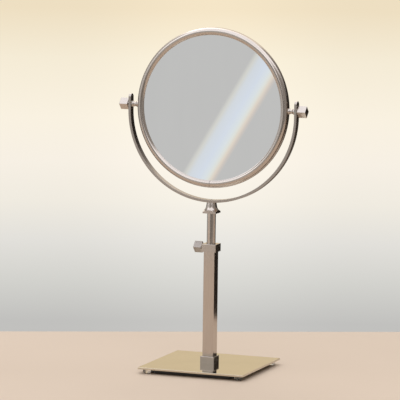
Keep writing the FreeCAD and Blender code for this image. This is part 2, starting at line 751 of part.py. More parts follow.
def pivot(hand, envelope):
    """One side's stud, nut, spool, washers, bush and knob. Local Z runs out from the mirror's centre."""
    stud = turned(f"{hand}_pivot_stud", [
        ("0", "stud_start"), ("bolt_radius", "stud_start"), ("bolt_radius", "stud_end - rod_edge"),
        ("bolt_radius - rod_edge", "stud_end"), ("0", "stud_end"),
    ])
    nut = new_body(f"{hand}_stud_nut")
    sketch = sketch_on(nut, "XY_Plane", "nut_start")
    square(sketch, "nut_side")
    circle(sketch, "bolt_radius")
    pad(nut, sketch, "nut_thick")
    blank = turned(f"{hand}_spool_blank", [
        ("bolt_radius", "spool_start"), ("spool_flange", "spool_start"),
        ("spool_flange", "spool_inner - spool_round"), ("spool_waist", "spool_inner"),
        ("spool_waist", "spool_outer"), ("spool_flange", "spool_outer + spool_round"),
        ("spool_flange", "spool_end"), ("bolt_radius", "spool_end"),
    ])
    blank.Placement = OUTWARD[hand]
    spool = cut(f"{hand}_pivot_spool", blank, envelope)
    spool.Placement = head_placement()
    finished(spool, spool.Name)
    nylon = tube(f"{hand}_friction_washer", "bolt_radius", "spool_flange", "spool_end",
                 "spool_end + nylon_thick")
    for body in (stud, nut, nylon):
        body.Placement = head_placement() * OUTWARD[hand]
        finished(body, body.Name)

    bush = tube(f"{hand}_pivot_bush", "bolt_radius + running_gap", "pivot_bush",
                "yoke_radius - yoke_thick", "yoke_radius")
    disc = tube(f"{hand}_knob_washer", "bolt_radius + running_gap", "disc_radius",
                "yoke_radius + loose_gap", "yoke_radius + loose_gap + disc_thick")
    knob = square_knob(f"{hand}_pivot_knob", "pivot_knob_side", "pivot_knob_start", "pivot_knob_length",
                       "bolt_radius + running_gap", "pivot_knob_start", "stud_end + knob_spare")
    for body in (bush, disc, knob):
        body.Placement = Placement(Vector(0, 0, size("pivot_height")), OUTWARD[hand].Rotation)
        finished(body, body.Name)


# --- the whole object -----------------------------------------------------------------------------


def check_document():
    for thing in doc.Objects:
        if {"Invalid", "Error"} & set(thing.State):
            raise RuntimeError(f"{thing.Name} failed: {thing.State}")
    for part in parts:
        if part.Shape.isNull() or not part.Shape.isValid():
            raise RuntimeError(f"{part.Label} has no valid shape")


def export_parts():
    os.makedirs("parts", exist_ok=True)
    for part in parts:
        part.Shape.exportStep(f"parts/{part.Label}.step")
        box = part.Shape.BoundBox
        print(f"{part.Label:24s} {part.Shape.Volume:10.1f} mm3  solids {len(part.Shape.Solids)}  "
              f"z {box.ZMin:7.2f} to {box.ZMax:7.2f}")


base_plate()
base_weight()
base_screw()
locating_pins()
feet()
base_socket()
column_tube()
column_plug()
guide_bush()
clamp_collar()
clamp()
guide_slider()
mast_rod()
slider_fastening()
flared_cap()
yoke()
yoke_screw()
rim_envelope = oval_ring("rim_envelope", "0")
mirror_rim(rim_envelope)
rim_joiner()
glasses()
for hand in ("left", "right"):
    pivot(hand, rim_envelope)
doc.recompute()
check_document()
export_parts()
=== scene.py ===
# %% [markdown]
# # An extendable shaving mirror
# The real thing is a round two-sided mirror that tips between the arms of a U-shaped yoke. The yoke
# stands on a round rod, which slides and turns in a square column on a square base plate. All the metal
# that shows is satin nickel, apart from the polished plate. The measured model already holds every part
# at its real size, so this lesson starts from it, rebuilds each part that shows with rounded edges and
# smooth curves, gives each one a finish, and lights it as in a small studio.

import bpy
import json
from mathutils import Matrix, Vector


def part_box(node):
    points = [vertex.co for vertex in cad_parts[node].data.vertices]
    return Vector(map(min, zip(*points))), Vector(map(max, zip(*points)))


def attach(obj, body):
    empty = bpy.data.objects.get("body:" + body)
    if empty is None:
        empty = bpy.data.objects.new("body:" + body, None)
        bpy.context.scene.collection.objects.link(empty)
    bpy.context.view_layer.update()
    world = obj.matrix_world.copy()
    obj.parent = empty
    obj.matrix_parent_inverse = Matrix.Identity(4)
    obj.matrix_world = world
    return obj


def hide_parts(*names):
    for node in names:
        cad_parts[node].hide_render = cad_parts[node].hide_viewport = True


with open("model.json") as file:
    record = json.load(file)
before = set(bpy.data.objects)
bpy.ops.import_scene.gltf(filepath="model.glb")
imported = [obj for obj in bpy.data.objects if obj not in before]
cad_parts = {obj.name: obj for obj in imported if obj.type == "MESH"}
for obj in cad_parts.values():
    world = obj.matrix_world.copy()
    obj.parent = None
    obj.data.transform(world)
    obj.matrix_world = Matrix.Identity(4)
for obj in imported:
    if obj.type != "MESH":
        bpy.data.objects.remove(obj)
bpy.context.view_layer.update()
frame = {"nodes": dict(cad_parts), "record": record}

# %% Other modules, and the millimetre
import json
import math

import bmesh
import bpy
from mathutils import Matrix, Vector

MM = 0.001
UP = Vector((0, 0, 1))

# %% [markdown]
# ## The camera
# A small object seen from far away through a long lens shows almost no perspective. So the camera
# stands nearly four metres off, to the right of the mirror and a little above its middle, and its lens
# is about 300 mm. A camera that has to look at a point is easiest to turn with to_track_quat, which
# points its own -Z axis along a direction and keeps its Y axis up. A last small turn about its own
# Z axis is the tilt that a tripod has when nobody levels it.

# %% Place the camera
CAMERA_AZIMUTH = math.radians(20.3)  # to the right of the mirror's front
CAMERA_RISE = math.radians(6.305)  # above the height that the distance is measured from
CAMERA_DISTANCE = 3.742
DISTANCE_FROM = Vector((0, 0, 246.5 * MM))
AIM_HEIGHT = 194.4 * MM
AIM_LEFT = 13.35 * MM  # the camera looks past the column's left side
CAMERA_ROLL = math.radians(0.78)
LENS_MM = 296.8

toward_camera = Vector((math.sin(CAMERA_AZIMUTH), -math.cos(CAMERA_AZIMUTH), 0))
camera_right = Vector((math.cos(CAMERA_AZIMUTH), math.sin(CAMERA_AZIMUTH), 0))
reach = toward_camera * math.cos(CAMERA_RISE) + UP * math.sin(CAMERA_RISE)

camera = bpy.data.objects.new("camera", bpy.data.cameras.new("camera"))
bpy.context.scene.collection.objects.link(camera)
bpy.context.scene.camera = camera
camera.location = DISTANCE_FROM + reach * CAMERA_DISTANCE
aim = UP * AIM_HEIGHT - camera_right * AIM_LEFT
looking = (aim - camera.location).normalized()
camera.rotation_mode = "QUATERNION"
camera.rotation_quaternion = (
    looking.to_track_quat("-Z", "Y") @ Matrix.Rotation(CAMERA_ROLL, 3, "Z").to_quaternion()
)
camera.data.lens = LENS_MM
camera.data.clip_start, camera.data.clip_end = 0.1, 50.0
bpy.context.scene.view_settings.view_transform = "Standard"
print("camera at", [round(x, 3) for x in camera.location])

# %% [markdown]
# ## Hands: starting, picking and applying
# Modelling by hand is always the same few moves: add a primitive, pick some faces or edges, run an
# operator on them, and apply a modifier. An operator acts on whatever is selected, and loading the
# model leaves its parts selected, so each move starts by letting go of everything. Faces and edges are
# picked by where they are or which way they face, because their numbers change after every operator. A
# finished piece keeps its place in its mesh, with its object at the origin, so every primitive's own
# transform is applied as soon as it is added.

# %% Let go, and start a piece from a primitive
TURN = {"Z": (0, 0, 0), "X": (0, math.pi / 2, 0), "Y": (-math.pi / 2, 0, 0)}
AXIS = {"X": Vector((1, 0, 0)), "Y": Vector((0, 1, 0)), "Z": UP}


def hold(piece):
    """Lets go of everything and makes one piece the only one selected, in object mode."""
    if bpy.context.object and bpy.context.object.mode != "OBJECT":
        bpy.ops.object.mode_set(mode="OBJECT")
    bpy.ops.object.select_all(action="DESELECT")
    if piece:
        piece.select_set(True)
        bpy.context.view_layer.objects.active = piece


def start(name, primitive, **settings):
    """Adds one of Blender's primitives and settles its place and turn in its mesh."""
    hold(None)
    getattr(bpy.ops.mesh, f"primitive_{primitive}_add")(**settings)
    piece = bpy.context.object
    piece.name = piece.data.name = name
    bpy.ops.object.transform_apply(location=True, rotation=True, scale=True)
    return piece


def block(name, low, high):
    """A cube primitive stretched to the box between two corners."""
    low, high = Vector(low), Vector(high)
    return start(name, "cube", size=1, location=(low + high) / 2, scale=high - low)


# %% Pick faces, edges or vertices by a test, and apply a modifier
def centre_of(item):
    return sum((v.co for v in item.verts), Vector()) / len(item.verts)


def pick(piece, kind, test):
    """Opens a piece in edit mode and selects only its faces, edges or verts that pass the test."""
    hold(piece)
    bpy.ops.object.mode_set(mode="EDIT")
    bpy.ops.mesh.select_mode(type={"faces": "FACE", "edges": "EDGE", "verts": "VERT"}[kind])
    bpy.ops.mesh.select_all(action="DESELECT")
    shape = bmesh.from_edit_mesh(piece.data)
    shape.normal_update()
    chosen = [item for item in getattr(shape, kind) if test(item)]
    for item in chosen:
        item.select_set(True)
    shape.select_flush_mode()
    bmesh.update_edit_mesh(piece.data)
    assert chosen, f"nothing picked on {piece.name}"
    return len(chosen)


def close(piece):
    """Merges what lies on itself, turns the faces outwards and leaves edit mode."""
    pick(piece, "verts", lambda v: True)
    bpy.ops.mesh.remove_doubles(threshold=0.001 * MM)
    bpy.ops.mesh.normals_make_consistent(inside=False)
    hold(piece)
    return piece


def modify(piece, kind, **settings):
    """Adds one modifier and applies it at once."""
    hold(piece)
    modifier = piece.modifiers.new(kind.title(), kind)
    for setting, value in settings.items():
        setattr(modifier, setting, value)
    bpy.ops.object.modifier_apply(modifier=modifier.name)
    return piece


def soften(piece, width, segments=3, angle=30):
    """Rounds every edge that is sharper than the angle, as tumbling or buffing does."""
    return modify(piece, "BEVEL", width=width, segments=segments, limit_method="ANGLE",
                  angle_limit=math.radians(angle))


def drill(piece, at, axis, radius, depth, sides=64):
    """Cuts a hole with a cylinder that is centred on a point. Six sides cut a hexagon."""
    cutter = start("cutter", "cylinder", vertices=sides, radius=radius, depth=depth, location=at,
                   rotation=TURN[axis])
    modify(piece, "BOOLEAN", object=cutter, operation="DIFFERENCE", solver="EXACT")
    bpy.data.objects.remove(cutter)
    return piece


# %% [markdown]
# ## Turning on a lathe
# Rods, screws, washers, feet and the flared cap are turned parts. Blender's lathe could be the Screw
# modifier or the spin operator on an outline. Here the part grows ring by ring instead: a circle is
# extruded along the axis and scaled to the next radius, which is the way one does it by hand, and every
# ring is a number that can be read.


# %% A lathe made of extrude and scale
def turned(name, rings, axis="Z", at=(0, 0, 0), sides=96):
    """Turns a solid piece from rings of (distance along the axis, radius), from one end to the other."""
    lengthways = AXIS[axis]
    across = Vector((1, 1, 1)) - lengthways
    first_distance, radius = rings[0]
    centre = Vector(at) + lengthways * first_distance
    piece = start(name, "circle", vertices=sides, radius=radius, location=centre, rotation=TURN[axis],
                  fill_type="NGON")
    pick(piece, "verts", lambda v: True)
    for distance, next_radius in rings[1:]:
        step = Vector(at) + lengthways * distance - centre
        bpy.ops.mesh.extrude_region_move(TRANSFORM_OT_translate={"value": step})
        centre = centre + step
        scale = next_radius / radius
        if scale != 1:
            bpy.ops.transform.resize(value=lengthways + across * scale, center_override=centre)
        radius = next_radius
    return close(piece)


def dome(foot_ring, side_ring, steps=8):
    """Rings along a quarter of an ellipse, from a flat foot out and up to the side."""
    (d0, r0), (d1, r1) = foot_ring, side_ring
    angles = [math.pi / 2 * i / steps for i in range(1, steps + 1)]
    return [(d0 + (d1 - d0) * (1 - math.cos(a)), r0 + (r1 - r0) * math.sin(a)) for a in angles]


# %% [markdown]
# ## Tools for finishes
# A finish is a small network of shader nodes, and a script that adds and links them one by one soon gets
# hard to follow. So a few short helpers do it: they add a node together with its settings and links, do
# arithmetic, map a range, lay a colour ramp, mix two colours, make noise, and begin and feed a finish.

# %% Add a node, do arithmetic, map a range
def node(tree, kind, inputs=None, **settings):
    """Adds a node. An input is given by name or number, as a value or as the output that feeds it."""
    made = tree.nodes.new(f"ShaderNode{kind}")
    for setting, value in settings.items():
        setattr(made, setting, value)
    for socket, value in (inputs or {}).items():
        if isinstance(value, bpy.types.NodeSocket):
            tree.links.new(value, made.inputs[socket])
        else:
            made.inputs[socket].default_value = value
    return made


def maths(tree, operation, a, b=0.0):
    return node(tree, "Math", {0: a, 1: b}, operation=operation).outputs[0]


def spread(tree, value, low, high, from_low=0.0, from_high=1.0, smooth=False):
    """Maps a value from one range to another."""
    return node(tree, "MapRange", {"Value": value, "From Min": from_low, "From Max": from_high,
                                   "To Min": low, "To Max": high},
                interpolation_type="SMOOTHSTEP" if smooth else "LINEAR").outputs[0]


# %% Lay a colour ramp, mix two colours
def ramp(tree, factor, stops):
    """A colour ramp through stops of (place, colour)."""
    made = node(tree, "ValToRGB", {"Fac": factor})
    elements = made.color_ramp.elements
    while len(elements) < len(stops):
        elements.new(0.5)
    for element, (place, colour) in zip(elements, stops):
        element.position = place
        element.color = (*colour, 1)
    return made.outputs["Color"]


def mixed(tree, factor, a, b, blend="MIX"):
    made = node(tree, "Mix", data_type="RGBA", blend_type=blend)
    for index, value in ((0, factor), (6, a), (7, b)):
        if isinstance(value, bpy.types.NodeSocket):
            tree.links.new(value, made.inputs[index])
        else:
            made.inputs[index].default_value = (*value, 1) if index else value
    return made.outputs[2]


# %% Make noise, begin a finish and feed it
def noise(tree, place, scale, detail=4.0, roughness=0.5):
    return node(tree, "TexNoise", {"Vector": place, "Scale": scale, "Detail": detail,
                                   "Roughness": roughness}).outputs["Fac"]


def stretched(tree, place, scale):
    return node(tree, "Mapping", {"Vector": place, "Scale": scale}).outputs[0]


def blank(name, **values):
    """A new finish with one Principled shader, whose plain values are set on its own sockets."""
    finish = bpy.data.materials.new(name)
    finish.use_nodes = True
    shader = finish.node_tree.nodes["Principled BSDF"]
    for socket, value in values.items():
        shader.inputs[socket.replace("_", " ")].default_value = value
    return finish, finish.node_tree, shader


def feed(tree, shader, **outputs):
    for socket, output in outputs.items():
        tree.links.new(output, shader.inputs[socket.replace("_", " ")])


# %% [markdown]
# ## Satin nickel
# Satin nickel is brushed with fine abrasive and then plated, so its marks run one way: up the column,
# level round its socket and its collar, round the rod, the rim and the yoke, and across the knobs. A
# scratch texture could be painted, but it would need every part unwrapped. Noise that is drawn out along
# the marks needs only a direction, so it fits them all. Broad streaks and soft clouds shift the tone, and
# hair lines shift the gloss and make the bump. Brushed metal also smears its highlights across the marks,
# which is what the shader's anisotropy does once it knows which way the marks run.

# %% Which way the marks run
def marks(tree, lay, centre):
    """Coordinates that run along the marks in X and across them in Y and Z, and the marks' direction.

    lay is three axes, such as zxy for marks along Z. With an axis twice, such as xzz, the missing one
    doesn't count, so the marks also run on round the block's other sides. It can also be round and an
    axis, for marks round that axis."""
    here = node(tree, "TexCoord").outputs["Object"]
    local = node(tree, "VectorMath", {0: here, 1: centre}, operation="SUBTRACT").outputs[0]
    part = dict(zip("xyz", node(tree, "SeparateXYZ", {0: local}).outputs))
    if lay.startswith("round"):
        axial = lay[-1]
        a, b = (part[letter] for letter in "xyz" if letter != axial)
        radius = maths(tree, "SQRT", maths(tree, "ADD", maths(tree, "MULTIPLY", a, a),
                                           maths(tree, "MULTIPLY", b, b)))
        arc = maths(tree, "MULTIPLY", maths(tree, "ARCTAN2", b, a), radius)
        ordered = (arc, radius, part[axial])
        axis_vector = node(tree, "CombineXYZ", dict(enumerate(AXIS[axial.upper()]))).outputs[0]
        direction = node(tree, "VectorMath", {0: axis_vector, 1: local},
                         operation="CROSS_PRODUCT").outputs[0]
    else:
        ordered = [part[letter] for letter in lay]
        direction = node(tree, "CombineXYZ", dict(enumerate(AXIS[lay[0].upper()]))).outputs[0]
    place = node(tree, "CombineXYZ", dict(enumerate(ordered))).outputs[0]
    direction = node(tree, "VectorTransform", {0: direction}, vector_type="VECTOR",
                     convert_from="OBJECT", convert_to="WORLD").outputs[0]
    return place, direction


# %% The satin nickel itself
NICKEL_DARK = Vector((0.535, 0.478, 0.432))
NICKEL_LIGHT = Vector((0.600, 0.542, 0.495))
STREAKS, HAIR_LINES, CLOUDS = 900, 3200, 28  # scales of the noise, the larger the finer
STREAK_DRAW, HAIR_DRAW = (0.03, 1.0, 1.0), (0.02, 1.0, 1.0)  # along the marks, and twice across them
HAIR_DEPTH = 0.004 * MM


def satin_nickel(name, lay, centre=(0, 0, 0), gloss=(0.17, 0.25), tone_scale=1.0, smear=0.35):
    """Brushed nickel. gloss is the roughness of its smoothest and its roughest marks, and smear the
    anisotropy, which is how much wider a highlight gets across the marks than along them."""
    finish, tree, shader = blank(name, Metallic=1.0, Anisotropic=smear, Anisotropic_Rotation=0.25)
    place, direction = marks(tree, lay, centre)
    streaks = noise(tree, stretched(tree, place, STREAK_DRAW), STREAKS, detail=3)
    lines = noise(tree, stretched(tree, place, HAIR_DRAW), HAIR_LINES, detail=2, roughness=0.4)
    cloud = noise(tree, place, CLOUDS, detail=2)
    tone = maths(tree, "ADD", maths(tree, "MULTIPLY", streaks, 0.7), maths(tree, "MULTIPLY", cloud, 0.3))
    colour = ramp(tree, tone, [(0.30, NICKEL_DARK * tone_scale), (0.70, NICKEL_LIGHT * tone_scale)])
    rough = maths(tree, "ADD", spread(tree, lines, *gloss, 0.25, 0.75), spread(tree, cloud, -0.02, 0.02))
    bump = node(tree, "Bump", {"Strength": 0.1, "Distance": HAIR_DEPTH, "Height": lines}).outputs[0]
    feed(tree, shader, Base_Color=colour, Roughness=rough, Normal=bump, Tangent=direction)
    return finish


print("satin nickel's tones:", tuple(NICKEL_DARK), tuple(NICKEL_LIGHT))

# %% [markdown]
# ## Settling a piece
# A finished piece gets smooth shading up to its sharp edges, normals weighted by face area so that the
# flats stay flat beside their rounded edges, its finish and the moving body that carries it, and the
# measured part that it stands for is hidden.

# %% Shade, finish and attach
mesh_faces = {}


def settle(piece, body, slot, finish, *nodes, angle=32):
    hold(piece)
    bpy.ops.object.shade_smooth_by_angle(angle=math.radians(angle))
    modify(piece, "WEIGHTED_NORMAL", keep_sharp=True)
    piece.data.materials.clear()
    piece.data.materials.append(finish)
    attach(piece, body)
    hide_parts(*nodes)
    mesh_faces[piece.name] = len(piece.data.polygons)
    shape = bmesh.new()
    shape.from_mesh(piece.data)
    gaps = sum(not edge.is_manifold for edge in shape.edges)
    size = [round((max(v.co[i] for v in shape.verts) - min(v.co[i] for v in shape.verts)) / MM, 2)
            for i in range(3)]
    print(f"{piece.name}: {len(shape.faces)} faces, {size} mm, open edges {gaps}, "
          f"volume {shape.calc_volume() / MM**3:.0f} mm3")
    shape.free()
    return piece


# %% [markdown]
# ## The base plate
# The plate is cut from sheet metal, its corners barely rounded and its edges eased, and it is polished
# where all the rest is brushed. A plane with a Solidify modifier would do, but a block has its thickness
# from the start. A bevel on the four upright edges makes the corners, a second and narrower one eases the
# rest, and a hole lets the screw through from below.

# %% Model the base plate
def edge_is_upright(edge):
    low, high = edge.verts
    return abs(low.co.z - high.co.z) > MM and (low.co - high.co).xy.length < 0.01 * MM


def round_uprights(piece, radius, test=lambda edge: True, segments=5):
    """Rounds the upright edges of a box that pass a test."""
    pick(piece, "edges", lambda edge: edge_is_upright(edge) and test(edge))
    bpy.ops.mesh.bevel(offset=radius, segments=segments, affect="EDGES")
    return close(piece)


PLATE_CORNER, PLATE_EASE = 1.0 * MM, 0.28 * MM
SCREW_HOLE = 3.2 * MM  # its radius, a little more than the screw's
THROUGH = 20 * MM  # a drill this long comes out at the other side

plate_low, plate_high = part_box("base_plate")
plate = block("polished_plate", plate_low, plate_high)
round_uprights(plate, PLATE_CORNER)
soften(plate, PLATE_EASE)
drill(plate, (0, 0, plate_low.z), "Z", SCREW_HOLE, THROUGH)

# %% [markdown]
# Polished metal shows its maker's last step only as very faint streaks and a slight waviness. A plain
# mirror finish would look like glass, so the roughness stays low but is never quite even, and a weak bump
# with a wave of several centimetres bends the reflections a little.

# %% Polished nickel
def polished_nickel(name):
    finish, tree, shader = blank(name, Metallic=1.0)
    place = node(tree, "TexCoord").outputs["Object"]
    cloud = noise(tree, place, 22, detail=3)
    streaks = noise(tree, stretched(tree, place, (1.0, 0.06, 1.0)), 1300, detail=4)
    colour = ramp(tree, cloud, [(0.30, (0.660, 0.605, 0.500)), (0.70, (0.700, 0.640, 0.530))])
    sheen = spread(tree, streaks, 0.035, 0.065, 0.3, 0.7)
    rough = maths(tree, "ADD", sheen, spread(tree, cloud, 0.0, 0.02))
    wave = noise(tree, place, 14, detail=1)
    bump = node(tree, "Bump", {"Strength": 0.05, "Distance": 0.05 * MM, "Height": wave}).outputs[0]
    feed(tree, shader, Base_Color=colour, Roughness=rough, Normal=bump)
    return finish


settle(plate, "stand", "polished_nickel", polished_nickel("polished_nickel"), "base_plate")

# %% [markdown]
# ## The feet
# Four clear rubber bumpers are stuck under the corners. One is turned on the lathe, a low dome that
# stands on a small flat and widens to its flange, and copied, each copy with a mesh of its own.

# %% Model one bumper and copy it
FEET = ("foot_front_left", "foot_front_right", "foot_back_left", "foot_back_right")


def copied(piece, name, offset):
    """A copy of a piece, with a mesh of its own, moved by an offset."""
    hold(piece)
    bpy.ops.object.duplicate()
    twin = bpy.context.object
    twin.name = twin.data.name = name
    twin.location = offset
    bpy.ops.object.transform_apply(location=True, rotation=True, scale=True)
    return twin


FLAT_SHARE, DOME_SHARE = 0.55, 0.95  # radii of the flat and of the dome, against the whole foot's
DOME_HEIGHT, FLANGE_HEIGHT = 1.7 * MM, 0.4 * MM

foot_low, foot_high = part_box(FEET[0])
foot_centre = (foot_low + foot_high) / 2
foot_radius = (foot_high.x - foot_low.x) / 2
foot_height = foot_high.z
foot_rings = [(0, foot_radius * FLAT_SHARE)]
foot_rings += dome(foot_rings[0], (DOME_HEIGHT, foot_radius * DOME_SHARE))
foot_rings += [(foot_height - FLANGE_HEIGHT, foot_radius), (foot_height, foot_radius)]
bumper = turned("bumper_front_left", foot_rings, at=(foot_centre.x, foot_centre.y, 0), sides=64)

# %% [markdown]
# Clear polyurethane is a soft plastic, a touch milky and never quite smooth, so light passes through
# it but the edges blur.

# %% Clear rubber
def clear_rubber(name):
    finish, tree, shader = blank(name, IOR=1.49, Transmission_Weight=0.92)
    place = node(tree, "TexCoord").outputs["Object"]
    haze = noise(tree, place, 260, detail=3)
    feed(tree, shader,
         Base_Color=ramp(tree, haze, [(0.3, (0.90, 0.87, 0.80)), (0.7, (0.96, 0.94, 0.89))]),
         Roughness=spread(tree, haze, 0.10, 0.22),
         Normal=node(tree, "Bump", {"Strength": 0.1, "Distance": 0.02 * MM, "Height": haze}).outputs[0])
    return finish


clear = clear_rubber("clear_rubber")
for foot_name in FEET:
    low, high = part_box(foot_name)
    offset = (low + high) / 2 - foot_centre
    name = foot_name.replace("foot", "bumper")
    piece = bumper if foot_name == FEET[0] else copied(bumper, name, offset)
    settle(piece, "stand", "clear_bumper", clear, foot_name)

# %% [markdown]
# ## The column and its socket
# The column is a drawn square tube, so its outer corners have a small radius. A boolean could cut its
# inside, but a block also becomes a tube when its two end faces are inset by the wall and bridged, which
# needs no cutter. The socket is a shorter and wider tube round its foot, with a bevelled top edge that
# catches the light.

# %% Model the column tube and the socket
def square_tube(name, low, high, wall, corner):
    """A block with rounded upright edges, opened from end to end."""
    piece = round_uprights(block(name, low, high), corner)
    pick(piece, "faces", lambda face: abs(face.normal.z) > 0.9)
    bpy.ops.mesh.inset(thickness=wall)
    bpy.ops.mesh.bridge_edge_loops()
    return close(piece)


def outside_at(half_side):
    return lambda edge: max(abs(centre_of(edge).x), abs(centre_of(edge).y)) > half_side - 0.6 * MM


TUBE_WALL, TUBE_CORNER = 0.8 * MM, 0.45 * MM
BLOCK_CORNER, TOP_BEVEL = 0.7 * MM, 0.45 * MM  # of the socket and of the collar
TIGHT_FIT = 0.02 * MM  # slack of a part that is pressed over the column

tube_low, tube_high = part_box("column_tube")
column = square_tube("square_column", tube_low, tube_high, TUBE_WALL, TUBE_CORNER)

socket_low, socket_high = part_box("base_socket")
socket_wall = socket_high.x - tube_high.x - TIGHT_FIT
socket = square_tube("column_socket", socket_low, socket_high, socket_wall, BLOCK_CORNER)
pick(socket, "edges", lambda edge: outside_at(socket_high.x)(edge)
     and all(abs(v.co.z - socket_high.z) < 0.01 * MM for v in edge.verts))
bpy.ops.mesh.bevel(offset=TOP_BEVEL, segments=3, affect="EDGES")
close(socket)

upright_satin = satin_nickel("satin_nickel_upright", "zxy", gloss=(0.11, 0.17), smear=0.2)
settle(column, "stand", "satin_nickel", upright_satin, "column_tube")
socket_satin = satin_nickel("satin_nickel_socket", "xzz", gloss=(0.12, 0.19))
settle(socket, "stand", "satin_nickel", socket_satin, "base_socket")

# %% [markdown]
# ## The clamp collar
# The collar sits over the column's top and carries the clamp knob. It is a block with a pocket for the
# column below, a bore for the rod, a threaded hole on the left and a bevelled top edge. The pocket is
# square, so it needs no drill: insetting the bottom face and pushing it in makes it. The two round holes
# are drilled last, because a bevel near a round hole would pick up its edges too.

# %% Model the clamp collar
collar_low, collar_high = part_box("clamp_collar")
rod_low, rod_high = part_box("mast_rod")
rod_radius = rod_high.x
clamp_low, clamp_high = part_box("clamp_screw")
clamp_height = (clamp_low.z + clamp_high.z) / 2
ROD_SLACK = 0.3 * MM
THREAD_HOLE = 2.05 * MM  # radius of a hole for an M4 thread
SIDE_HOLE_LENGTH = 8 * MM  # half of it lies in the collar and reaches the bore

collar = block("clamp_collar_body", collar_low, collar_high)
pick(collar, "faces", lambda face: face.normal.z < -0.9)
bpy.ops.mesh.inset(thickness=collar_high.x - tube_high.x - TIGHT_FIT)
bpy.ops.mesh.extrude_region_move(TRANSFORM_OT_translate={"value": (0, 0, tube_high.z - collar_low.z)})
close(collar)
round_uprights(collar, BLOCK_CORNER, outside_at(collar_high.x))
pick(collar, "edges", lambda edge: all(abs(v.co.z - collar_high.z) < 0.01 * MM for v in edge.verts))
bpy.ops.mesh.bevel(offset=TOP_BEVEL, segments=3, affect="EDGES")
close(collar)
drill(collar, (0, 0, collar_high.z), "Z", rod_radius + ROD_SLACK, 1.5 * THROUGH, sides=96)
drill(collar, (collar_low.x, 0, clamp_height), "X", THREAD_HOLE, SIDE_HOLE_LENGTH, sides=48)
collar_satin = satin_nickel("satin_nickel_collar", "xzz", gloss=(0.14, 0.21))
settle(collar, "stand", "satin_nickel", collar_satin, "clamp_collar")

# %% [markdown]
# ## The knobs
# All three knobs are short square bars held on a corner. The bar is a block turned by 45 degrees about
# its length, with all its edges eased, and bored from its inner end for the screw. The clamp knob also
# has a round neck. An inset of the bar's end would give a square one, so it is turned and joined with a
# boolean.

# %% Model the knobs
def bar_on_corner(name, low, high):
    """A square bar along X, turned to stand on a corner, inside the box between two points."""
    centre = (Vector(low) + Vector(high)) / 2
    side = (high.z - low.z) / math.sqrt(2)
    return start(name, "cube", size=1, location=centre, scale=(high.x - low.x, side, side),
                 rotation=(math.radians(45), 0, 0))


BAR_EASE = 0.32 * MM
TILT_BORE, CLAMP_BORE = 6.6 * MM, 7 * MM  # depths of the blind holes
NECK_LENGTH, NECK_RADIUS, NECK_EDGE = 1.1 * MM, 3.2 * MM, 0.2 * MM

bush_low, bush_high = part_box("left_pivot_bush")
mirror_centre = Vector((0, 0, (bush_low.z + bush_high.z) / 2))
knob_satin = satin_nickel("satin_nickel_knob", "zxx", gloss=(0.17, 0.25))
for hand, sign in (("left", -1), ("right", 1)):
    low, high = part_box(f"{hand}_pivot_knob")
    knob = soften(bar_on_corner(f"{hand}_tilt_knob", low, high), BAR_EASE)
    inner_end = min(abs(low.x), abs(high.x)) * sign
    drill(knob, (inner_end, 0, mirror_centre.z), "X", THREAD_HOLE, 2 * TILT_BORE, sides=48)
    settle(knob, f"{hand}_knob", "satin_nickel", knob_satin, f"{hand}_pivot_knob")

knob_low, knob_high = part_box("clamp_knob")
bar_high = Vector((knob_high.x - NECK_LENGTH, knob_high.y, knob_high.z))
clamp_knob = soften(bar_on_corner("clamp_bar", knob_low, bar_high), BAR_EASE)
neck = turned("clamp_neck", [
    (bar_high.x - 1 * MM, NECK_RADIUS), (bar_high.x + NECK_EDGE, NECK_RADIUS),
    (knob_high.x - NECK_EDGE, NECK_RADIUS), (knob_high.x, NECK_RADIUS - NECK_EDGE),
], axis="X", at=(0, 0, clamp_height), sides=64)
modify(clamp_knob, "BOOLEAN", object=neck, operation="UNION", solver="EXACT")
bpy.data.objects.remove(neck)
drill(clamp_knob, (knob_high.x, 0, clamp_height), "X", 2 * MM, 2 * CLAMP_BORE, sides=48)
# The clamp knob's tone is scaled down to 0.64 as painted shade, standing in for the shadow of the mirror
# head above it.
clamp_knob_shade_satin = satin_nickel("satin_nickel_painted_shade", "zxx", gloss=(0.26, 0.34), tone_scale=0.64)
settle(clamp_knob, "clamp_knob", "satin_nickel", clamp_knob_shade_satin, "clamp_knob")

# %% [markdown]
# ## The rod
# The mast rod is ground bar with a thin spigot at its foot for the slider. A cylinder would give its
# outside, but not its eased ends and the step, so it is turned. It slides in the column, so it is the
# smoothest of the satin parts. It was ground while it turned, so its marks run round it, and the lights
# and gaps of the studio stand along it as clear stripes.

# %% Model the mast rod
SPIGOT_RADIUS, SPIGOT_EDGE, ROD_EDGE = 3.0 * MM, 0.2 * MM, 0.4 * MM
SLIDER_PLAY = 0.15 * MM  # between the slider and the rod's shoulder

slider_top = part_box("guide_slider")[1].z + SLIDER_PLAY
cap_low, cap_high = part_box("flared_cap")
rod = turned("mast_rod_turned", [
    (rod_low.z, SPIGOT_RADIUS - SPIGOT_EDGE), (rod_low.z + SPIGOT_EDGE, SPIGOT_RADIUS),
    (slider_top, SPIGOT_RADIUS), (slider_top, rod_radius - ROD_EDGE), (slider_top + ROD_EDGE, rod_radius),
    (rod_high.z - ROD_EDGE, rod_radius), (rod_high.z, rod_radius - ROD_EDGE),
], sides=128)
rod_satin = satin_nickel("satin_nickel_rod", "roundz", gloss=(0.10, 0.16))
settle(rod, "mast", "satin_nickel", rod_satin, "mast_rod")

# %% [markdown]
# ## The flared cap
# The cap is a small trumpet with a square foot. On the real part the trumpet is turned first and then
# milled square, so the flats meet the flare in four arches. The same order works here: the lathe first,
# then four cuts with the bisect operator, which throws away what lies outside and fills the cut.

# %% Model the flared cap
FLANGE, WAIST_HEIGHT = 1.8 * MM, 8.0 * MM
WAIST_RADIUS, NECK_TOP_RADIUS, FLARE_RADIUS = 6.2 * MM, 5.4 * MM, 7.3 * MM
TO_MILL_AWAY = 0.2 * MM  # how far the turned foot stands past the square one's corners
SEAT_SLACK, CAP_EASE = 0.01 * MM, 0.12 * MM

